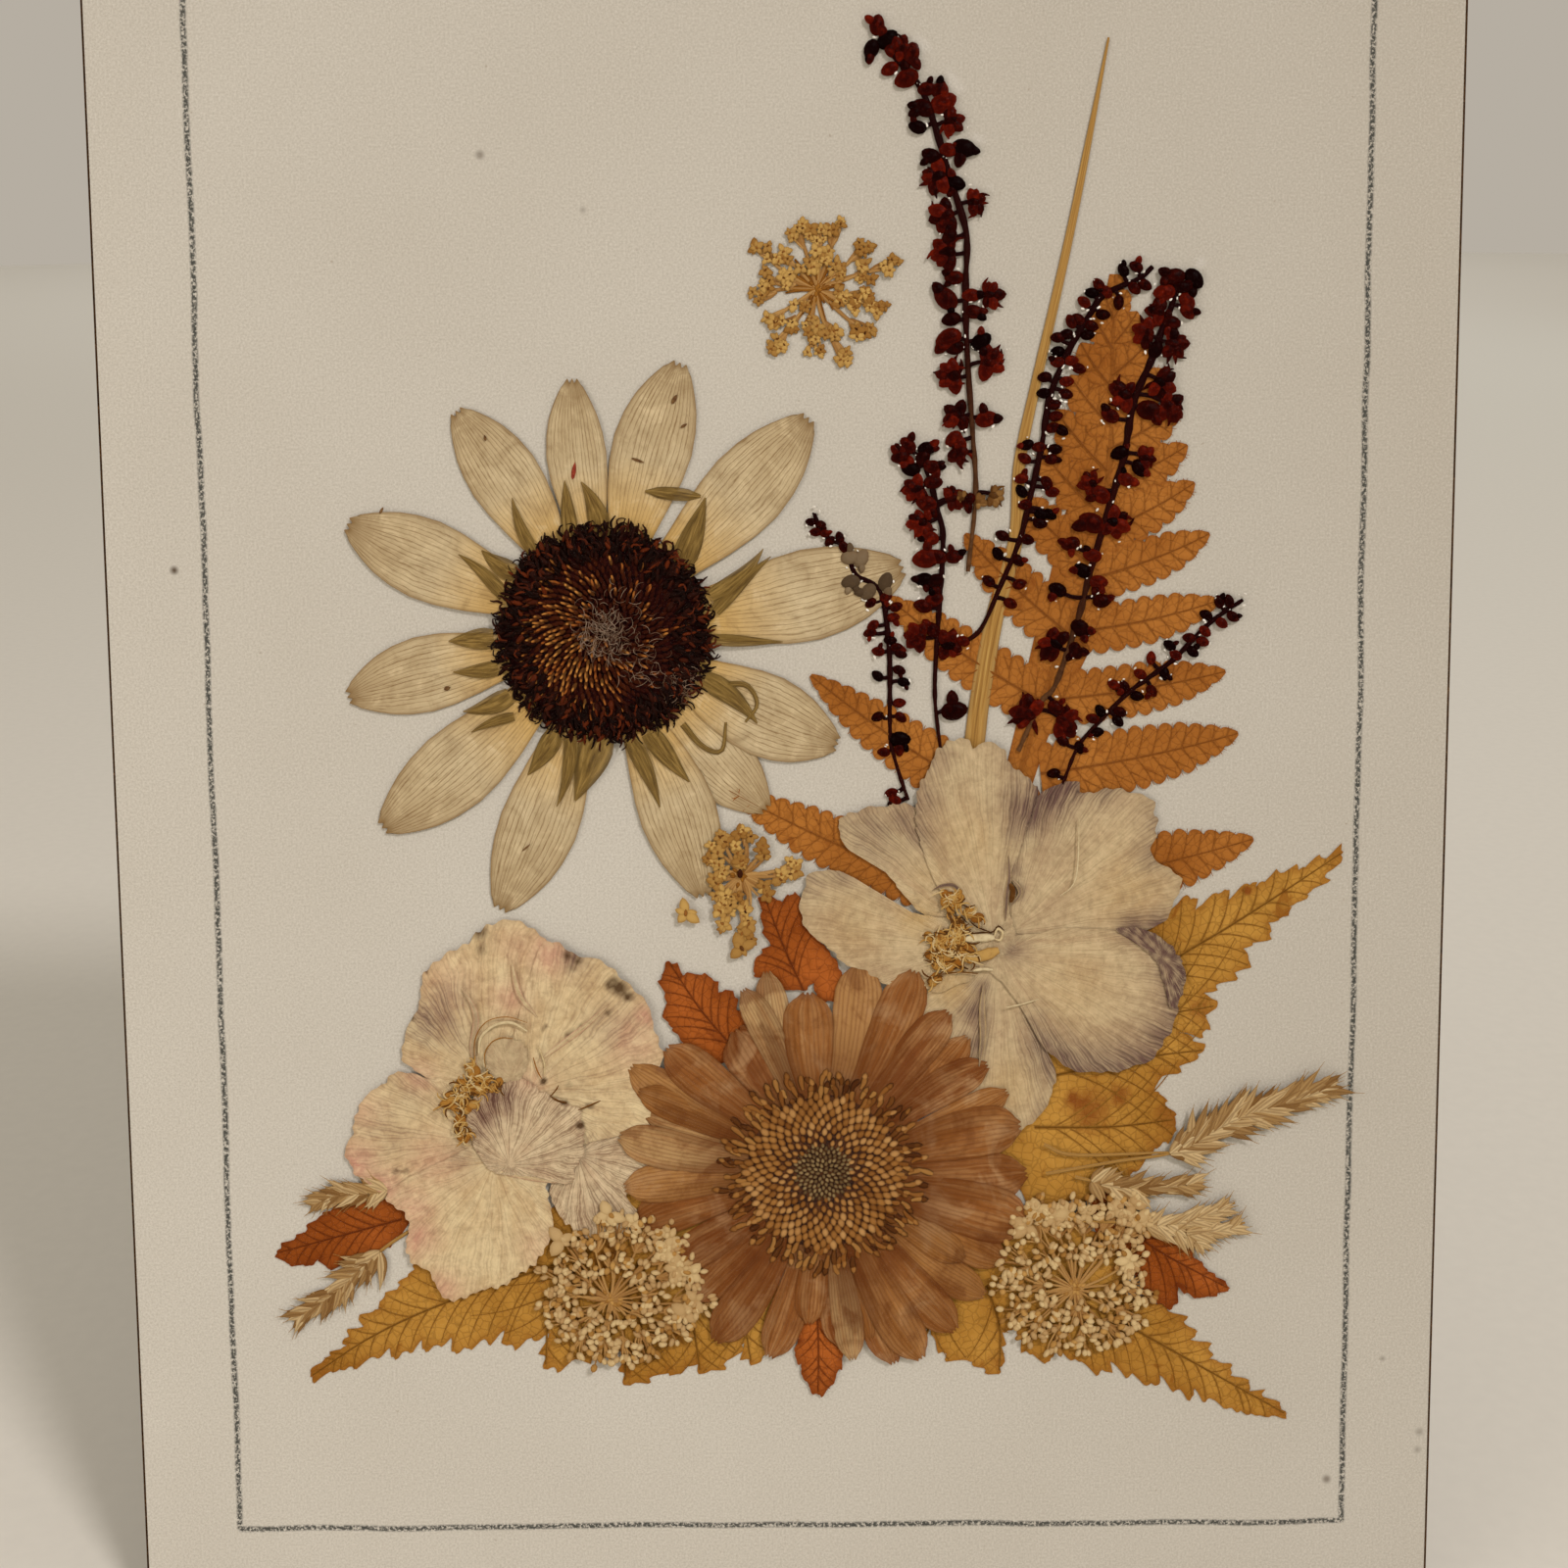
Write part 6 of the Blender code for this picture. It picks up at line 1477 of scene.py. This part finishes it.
SPIKES = {  # node: level, stem width, usual seed radius, stem route, and seeds as x, z and any radius
    "seed_spike_1": (0.3, 1, 0.85, ((13.3, 216), (15.5, 212.5), (18.9, 208.5), (21, 203), (22.8, 197),
        (24.7, 191), (25, 188), (24.8, 183), (24.9, 178), (25.2, 172), (25.8, 164), (26.2, 156),
        (25.2, 146)), ((13.3, 216.3, 0.9), (12.6, 213.4, 0.9), (14.6, 214.5, 1), (16.3, 213.3, 1.3),
        (17.7, 212.7, 1), (15, 210.9, 0.8), (17.2, 209.7, 1.1), (19.7, 208.3), (21.3, 208.2, 0.8),
        (21.8, 206.5, 1.2), (19.4, 205.9, 1), (22.8, 204.2, 1.5), (18.6, 203.5, 0.8), (24.5, 200.8, 1.1),
        (22.5, 200.6), (20.4, 199.8, 0.9), (21.2, 197.2, 1.7), (23.4, 196.4, 0.9), (25.8, 193.9, 1.3),
        (22.3, 192.3, 1.7), (22.7, 189.5), (22.5, 187.5, 1.7), (23.4, 184.3), (22.3, 181.6, 1.2),
        (25.5, 182), (28, 182, 1.4), (25.9, 179.9), (23, 179), (22.7, 176.5, 1.2), (23.5, 175.3),
        (26.8, 176, 1), (27.8, 173.3, 1.7), (23.2, 171.7, 1.7), (23.8, 166.5, 1.5), (27.5, 166, 1),
        (23.3, 163.5), (24.3, 161.8, 1.5), (28.6, 156, 1.1), (26.6, 155.2, 0.8), (24.4, 155.6, 0.8))),
    "seed_spike_2": (0.3, 0.85, 0.85, ((17.7, 162), (19.5, 160), (21.2, 154), (21.9, 150), (21.3, 140),
        (20.8, 130), (21.6, 122)), ((17.3, 162.6), (19.7, 162.2), (16.3, 161.2), (19.2, 161), (17.7, 159.5),
        (20.5, 159.8), (18.4, 157, 1.4), (20.5, 157.8), (23, 155.6, 1.3), (25, 155.5), (19.8, 155, 1),
        (19, 152.5, 1.4), (20.2, 150.5), (19.7, 147.8, 1.2), (21.3, 148), (23.3, 148), (19.4, 145),
        (20.8, 144.8), (19.3, 141.5), (20.8, 142.3), (18.7, 137.5, 1.5), (20.5, 138.3), (22.5, 136.3, 1.5),
        (23.3, 127.5, 1.2))),
    "seed_spike_3": (0.2, 0.9, 0.6, ((4.8, 153.8), (6, 151), (8.5, 149.7), (9.5, 147.5), (10.5, 145.5),
        (13.5, 143.5), (14.7, 136), (14.8, 125), (15.3, 121.5), (17.2, 115.5)), ((4.8, 153.9, 0.55),
        (4.4, 152.7, 0.5), (5.6, 152.4, 0.5), (5, 151.4, 0.55), (6.2, 151.2, 0.5), (6.9, 150.2, 0.55),
        (8.2, 150.6, 0.55), (8.7, 149.4), (9.5, 148, 0.9), (11, 147.8, 0.9), (9.7, 144.8, 0.9),
        (12, 143.5, 0.9), (14.2, 144.7, 0.9), (12.3, 142), (14.2, 142.7), (15.6, 141.4), (15.2, 140),
        (12.6, 139), (12.2, 138), (14.8, 137), (13.3, 135.5), (15.7, 136), (16.2, 135.2), (16, 133),
        (13.2, 132.2), (16.6, 131.4), (16, 128.6), (13.2, 126.8), (16.2, 126.7), (16, 123.7, 1), (14, 122),
        (15, 116.5), (15.5, 115.5))),
    "seed_spike_4": (0.34, 1, 0.65, ((49.3, 185.5), (47.5, 184), (43, 182), (41.5, 180), (38.5, 175),
        (36, 169), (35, 163), (33.5, 156), (32, 150), (29.5, 144), (27, 138.5), (24.5, 136.5)),
        ((47.2, 185.5), (45.5, 185), (48.3, 183.2), (46.9, 182.8), (42.3, 183.2), (43.3, 182.3),
        (41.4, 182.2), (40.4, 181), (44.9, 181), (42.8, 179.4), (38.7, 178.5), (39.7, 178.8), (41.3, 178),
        (40.8, 176.8), (38.1, 176.9), (37, 176.5), (37, 174.7), (37, 173.3), (38.7, 173.5), (39.7, 172.5),
        (35.3, 171.4), (38.1, 170.8), (35.2, 169.3), (38, 169.2), (36.5, 167.8), (36.7, 166.3),
        (36.3, 164.8), (37.5, 164.5), (34.6, 162.3), (36.6, 162), (36.2, 160.7), (33, 162.6), (32.7, 160.8),
        (32.3, 158.2), (35.6, 157.7), (36.3, 156.4), (32.3, 156.5), (32.8, 154.8), (34.8, 153.5),
        (36, 153.5), (34.7, 152.3), (33, 150.2), (29.8, 150.7), (29.2, 148.3), (31.8, 147.5), (28, 144.7),
        (32, 144.3), (30.8, 141.8), (24.6, 136.8))),
    "seed_spike_5": (0.34, 1.1, 0.85, ((52.5, 185), (52, 181), (50.5, 177), (49.3, 173.5), (47, 168),
        (45.8, 161), (43.8, 154), (41.5, 146), (40, 140), (37, 131), (35, 128.5), (32, 122)),
        ((52.2, 184.2, 1), (54.7, 184, 1), (53.3, 182.8), (51, 182.2, 1), (53.8, 181.2), (53.9, 179.9),
        (50.2, 179.7, 1.3), (51.8, 178.3), (48.7, 177, 1.5), (49.8, 174.8), (52, 175.5, 1.6),
        (50.5, 170.5, 1.6), (45.8, 169, 1.6), (49, 167, 1.2), (51.5, 167.5, 1.7), (44, 166.3),
        (45.3, 161.5), (48.5, 160.8, 1.3), (47.8, 159.5), (41.5, 157.5, 1.3), (42.8, 156, 1), (46, 158),
        (41.7, 152.3, 1.2), (44.5, 152.3, 1.6), (38.9, 149.6), (41.8, 148), (40.5, 146), (42.5, 144.5),
        (37.2, 143.5), (43, 142), (40.2, 138.4, 1), (36.8, 136.3, 1.8), (39.5, 135.5), (33.3, 127, 1.8),
        (37, 127.8), (38, 126, 1.7))),
    "seed_spike_6": (0.34, 0.8, 0.62, ((61.8, 142), (57.5, 139), (52.5, 134), (47, 130), (42.5, 125.5),
        (40, 122.5), (38, 117.5)), ((61.7, 142), (60, 141.8), (60.5, 139.8), (58.7, 141.7), (59, 139),
        (57, 140), (56.8, 137.9), (54.8, 137), (56.5, 136.5), (55.2, 135.2), (52.2, 136), (53, 134.7),
        (49.7, 134.3), (51.5, 132.3), (48.3, 132.2), (44.8, 130.8), (46.2, 130.5), (49.8, 130),
        (47.8, 129.3), (43, 127.3), (42, 126.3), (45.6, 127.2), (45.3, 126), (42.5, 124.5), (40.2, 122.5),
        (38, 123.3), (36.8, 119))),
}
SEED_PLUMPNESS = 1.16
BROWN_FOOTED = ("seed_spike_1", "seed_spike_5")
STEM = 1  # look of a stem, in the seed spikes and in the grasses
GREY, BROWN = 2, 3  # looks of faded seeds; the brown ones stand open as husks
# look of the pale pockets beside the seeds; their pale colour is partly a painted glint of the film
BUBBLE_AND_GLINT = 4
FADED = {  # lowest and highest faded seed, and the look that it takes
    "seed_spike_1": (150, 158, BROWN),
    "seed_spike_3": (143, 148.4, GREY),
}
GLAZED = 0.015  # specular level of seeds and stems
HUSK_RADIUS = 1.5  # seed heads from this radius up stand open as well


def seed_look(name, dark, middle, light, glow):
    look = Look(name, 0.3, GLAZED)
    look.base(look.ramp(look.tone, {0: dark, 0.5: middle, 1: light}))
    shine = look.noise(1300).span(0.45, 0.7, 0, 0.7).most(look.edge * 0.6)
    look.coat(shine * look.tone, glow)
    return look.bump(look.noise(1500, 4), 0.7, 0.25)


def seed_looks():
    stem = Look("spike_stem", 0.5, GLAZED)
    stem.base(stem.ramp(stem.along * stem.tone, {0.1: "#1C0506", 0.6: "#2E0D09", 0.95: "#66452A"}))
    stem.coat(stem.noise(1200).span(0.4, 0.7, 0, 0.5), "#1C0806")
    stem.bump(stem.noise(2000), 0.4, 0.08)
    # Pale pockets under the film; the near-white colour is partly a painted glint of the film's highlights.
    bubble_and_glint = Look("film_bubble_and_glint", 0.2, 0.3)  # air under the film, with a pale glint
    bubble_and_glint.base(bubble_and_glint.ramp(bubble_and_glint.tone, {0.2: "#D8D2C4", 0.8: "#FCF8EE"}))
    bubble_and_glint.bump(bubble_and_glint.noise(2500, 2), 0.3, 0.03)
    return [seed_look("seed", "#0C0101", "#220302", "#480C04", "#82200A"), stem,
            seed_look("seed_faded", "#4A3A2A", "#6E5C46", "#8C7A60", "#7A5E40"),
            seed_look("seed_brown", "#3C200C", "#6E4A24", "#9A7442", "#5A3414"), bubble_and_glint]


def bubbles_and_glints(piece, place, radius, level, dice):
    """Small pale pockets that the film leaves round a seed; their pale colour is partly a painted glint of
    the film.
    """
    for _ in range(dice.integers(0, 4)):
        outward = facing(dice(0, tau))
        size = dice(0.14, 0.34)
        piece.bead(place + outward * radius * dice(1, 1.6), turned(outward, pi / 2), size * 1.5, size, 0.08,
                   level + 0.2, 8, BUBBLE_AND_GLINT, tone=dice())


def bud(piece, place, outward, radius, level, dice, slot):
    """A plump oval bud, often with a smaller one beside it."""
    heading = turned(outward, dice.sway(0.7))
    piece.bead(place, heading, radius * 2.5, radius * 1.9, 0.3 + 0.3 * radius, level, 14, slot, 0.15,
               tone=0.8 * dice() ** 2)
    for _ in range(int(dice() < 0.35) if radius < 0.95 else dice.integers(1, 3)):
        heading = turned(outward, dice.sway(2.2))
        size = radius * dice(0.5, 0.72)
        piece.bead(place + heading * radius * 1.1, heading, size * 2.3, size * 1.8, 0.25 + 0.3 * size,
                   level + dice(0, 0.15), 12, slot, 0.2, tone=dice() ** 1.6)


def husk(piece, place, outward, radius, level, dice, slot):
    """An open seed head: rounded papery lobes with a few ragged scales."""
    for k in range(5):
        heading = turned(outward, (k - 2) * 0.85 + dice.sway(0.4))
        size = radius * dice(0.6, 0.85)
        piece.bead(place + heading * radius * 0.5, heading, size * 1.7, size * 1.3, 0.4,
                   level + dice(0, 0.25), 12, slot, 0.2, tone=dice(0.1, 1))
    for _ in range(5):
        heading = turned(outward, dice.sway(2.6))
        piece.hair(place, heading * radius * dice(0.9, 1.5), 7, dice.sway(0.3), (0.3, 0.4, 0.34, 0.08),
                   level + dice(0, 0.3), 0.15, 5, wide=radius, slot=slot, tone=dice(0.2, 0.9))
    piece.bead(place, outward, radius * 1.1, radius * 0.9, 0.5, level + 0.15, 12, slot, tone=dice() * 0.4)


def seed_spikes():
    looks = seed_looks()
    for number, (node, (level, stem_width, usual, route, seeds)) in enumerate(SPIKES.items()):
        low, high, faded = FADED.get(node, (0, 0, 0))
        piece, dice, bubble_and_glint = Piece(), Dice(61 + number), Dice(81 + number)
        stem = curve(route, 120)
        down = np.linspace(0, 1, 60)
        swelling = (0.55 + 0.35 * np.sin(pi * down**0.6)) * (1 + 0.22 * waves(down, 14, number))
        piece.strip(stem, swelling, level, 0.3, slot=STEM, wide=stem_width,
                    tone=1 if node in BROWN_FOOTED else 0.55)
        for x, z, *own in seeds:
            place = np.array((x, z))
            radius = (own[0] if own else usual) * SEED_PLUMPNESS
            root = stem[np.linalg.norm(stem - place, axis=1).argmin()]
            outward = unit(place - root) if np.linalg.norm(place - root) > 0.15 else unit(stem[0] - root)
            slot = faded if low < z < high else 0
            piece.strip(straight(root, place, 5, 0.1), (0.6, 0.5), level + 0.05, 0.2, 3, slot=STEM, tone=0.2)
            grow = bud if radius < HUSK_RADIUS and slot != BROWN else husk
            grow(piece, place, outward, radius, level, dice, slot)
            bubbles_and_glints(piece, place, radius, level, bubble_and_glint)
        piece.make(f"{node}_seeds", looks, "seed", node)


# Grasses

PALE_GRASSES = ("grass_head_right_lower",)
GRASS_POINTS = 80  # along a stalk
BLADE_ROUTE = (
    (43.3, 214.6), (40.5, 200), (38.5, 190), (36.3, 180), (34, 170), (32, 160), (31.5, 150), (28.8, 140),
    (27, 130), (26, 122),
)
GRASSES = {  # node: level, and branches as a route, spikelet length, width, spacing and first place
    "grass_head_right_upper": (0.72, ((((36, 63.9), (46, 65.6), (54, 67), (62, 71.5), (70, 74), (75, 76)),
        7.4, 2.2, 1.15, 0.42), (((35.7, 68), (40, 66.5), (53.5, 66.8)), 0, 0, 0, 0))),
    "grass_head_right_middle": (0.66, ((((40, 63.4), (46, 62), (52, 62), (57, 62.4)), 5, 2.1, 1.3, 0.15),)),
    "grass_head_right_lower": (0.7, ((((40, 57.2), (46, 57), (52, 56.6), (58, 58), (62, 59.6)), 5.2, 2, 1.4,
        0.45), (((49, 57), (55, 55.6), (60, 55.8), (63.4, 56.8)), 4.6, 1.8, 1.5, 0.35), (((50, 57),
        (54, 56), (58.6, 52.8)), 3.6, 1.5, 1.6, 0.6))),
    "grass_head_left_upper": (0.3, ((((-52, 63), (-56, 61.8), (-61, 61.6), (-65, 60)), 4.4, 1.9, 1.3,
        0.2),)),
    "grass_head_left_lower": (0.3, ((((-50.5, 57), (-55, 54), (-59, 50.5), (-63, 47), (-67.6, 44)), 5.6,
        2.1, 1.25, 0.3),)),
}


def straw_looks():
    husk = Look("grass_husk", 0.65)
    husk.base(husk.ramp(husk.tone, {0.05: "#7E5A30", 0.5: "#AE8C5A", 0.95: "#D6BC8C"}))
    husk.coat(abs(husk.across).span(0, 0.4, 0.6, 0), "#6A4826")
    husk.coat(husk.edge * 0.7, "#6E4C28")
    husk.bump(husk.noise(2500), 0.4, 0.06)
    stem = Look("grass_stem", 0.6)
    lines = stem.grain(stem.across * 4, stem.along * 9, 0, 3)
    stem.base(stem.ramp(lines, {0.3: "#8C6632", 0.5: "#AA8042", 0.7: "#C49E5A"}))
    stem.coat(abs(stem.across).span(0.55, 0.8, 0, 0.5), "#D0AC6A")
    stem.coat(stem.edge * 0.7, "#6E4C28")
    stem.bump(lines, 0.6, 0.08)
    return [husk, stem]


def spikelet(piece, base, heading, length, width, level, pale, dice):
    """Three husks, one over the other, the outer ones with a fine awn."""
    for part, lean in enumerate((-0.22, 0.24, 0)):
        toward = turned(heading, lean + dice.sway(0.08))
        reach = length * (1 if part == 2 else 0.8) * dice(0.85, 1.05)
        line = straight(base, base + toward * reach, 8, dice.sway(0.05))
        piece.strip(line, (0.4, 0.9, 1, 0.8, 0.45, 0.05), level + 0.06 * part, 0.22, wide=width * 0.62,
                    tone=pale + (1 - pale) * dice())
        end = line[-1] + turned(toward, dice.sway(0.25)) * dice(0.4, 1.3)
        piece.strip(straight(line[-2], end, 4), (0.12, 0.05), level + 0.12, 0.03, 3, slot=STEM)


def grasses():
    looks = straw_looks()
    piece = Piece()
    piece.strip(curve(BLADE_ROUTE, 90), (0.3, 0.95, 1.2, 1.4, 1.8, 2.5, 2.8), 0.22, 0.12, 13, slot=STEM)
    piece.make("grass_blade_pressed", looks, "grass", "grass_blade")
    for number, (node, (level, branches)) in enumerate(GRASSES.items()):
        piece, dice = Piece(), Dice(71 + number)
        for route, length, width, spacing, start in branches:
            line = curve(route, GRASS_POINTS)
            piece.strip(line, (0.5, 0.45, 0.3), level, 0.2, slot=STEM)
            if not length:
                continue
            bearing = length_of(line) * (1 - start)
            for i in range(int(bearing / spacing) * 2):
                at = start + (1 - start) * (i // 2) * spacing / bearing
                point = min(int(at * (GRASS_POINTS - 1)), GRASS_POINTS - 2)
                ahead = unit(line[point + 1] - line[point])
                heading = turned(ahead, (1 if i % 2 else -1) * dice(0.1, 0.95) * (1.15 - 0.55 * at))
                shorter = (1.05 - 0.4 * at) * dice(0.75, 1.1)
                spikelet(piece, line[point], heading, length * shorter, width, level + 0.1,
                         0.6 if node in PALE_GRASSES else 0.06, dice)
        piece.make(f"{node}_husks", looks, "grass", node)


# Film

FILM_CELL = 0.7
FILM_CLEARANCE = 0.1
FILM_SPREAD = 4  # cells that the film needs to come down beside a lump
FILM_FALL = 0.17  # how far it comes down from cell to cell
FILM_ALPHA = 0.0012


def blurred(field):
    """A field softened over its neighbours."""
    padded = np.pad(field, 1, mode="edge")
    rows = padded[:-2] + 2 * padded[1:-1] + padded[2:]
    return (rows[:, :-2] + 2 * rows[:, 1:-1] + rows[:, 2:]) / 16


def film():
    """One clear sheet drawn down over everything, tented beside each lump."""
    width = SHEET_WIDTH - 2 * PAPER_INSET
    height = SHEET_HEIGHT - 2 * PAPER_INSET
    columns, rows = round(width / FILM_CELL), round(height / FILM_CELL)
    field = np.zeros((rows, columns))
    points = np.concatenate(pressed_points)
    column = np.clip(((points[:, 0] + width / 2) / width * (columns - 1)).round().astype(int), 0, columns - 1)
    row = np.clip(((points[:, 2] - PAPER_INSET) / height * (rows - 1)).round().astype(int), 0, rows - 1)
    np.maximum.at(field, (row, column), -points[:, 1])
    lumps = field.copy()
    for _ in range(FILM_SPREAD):
        padded = np.pad(field, 1, mode="edge")
        around = np.max([padded[:-2, 1:-1], padded[2:, 1:-1], padded[1:-1, :-2], padded[1:-1, 2:]], 0)
        field = np.maximum(field, around - FILM_FALL)
    for _ in range(2):
        field = np.maximum(blurred(field), lumps)
    xs = np.linspace(-width / 2, width / 2, columns)
    zs = np.linspace(PAPER_INSET, PAPER_INSET + height, rows)
    flat = np.stack(np.meshgrid(xs, zs), -1).reshape(-1, 2)
    piece = Piece()
    piece.add(flat, FILM_CLEARANCE + blurred(field).reshape(-1), grid(rows, columns))
    look = Look("clear_film", 0.12, PLAIN, 1, FILM_ALPHA)
    look.base((1, 0.99, 0.97))
    look.bump(look.noise(260, 2), 0.3, 0.12)
    sheet = piece.make("clear_film_draped", [look], "film", "clear_film")
    sheet.visible_shadow = sheet.visible_diffuse = sheet.visible_glossy = False


# Scene

for make in (add_camera, add_stage, dress_carried_nodes, coneflower, sepals, cone_disc, daisy, daisy_disc,
             delphiniums, leaves, fern, umbels, seed_spikes, grasses, film):
    make()
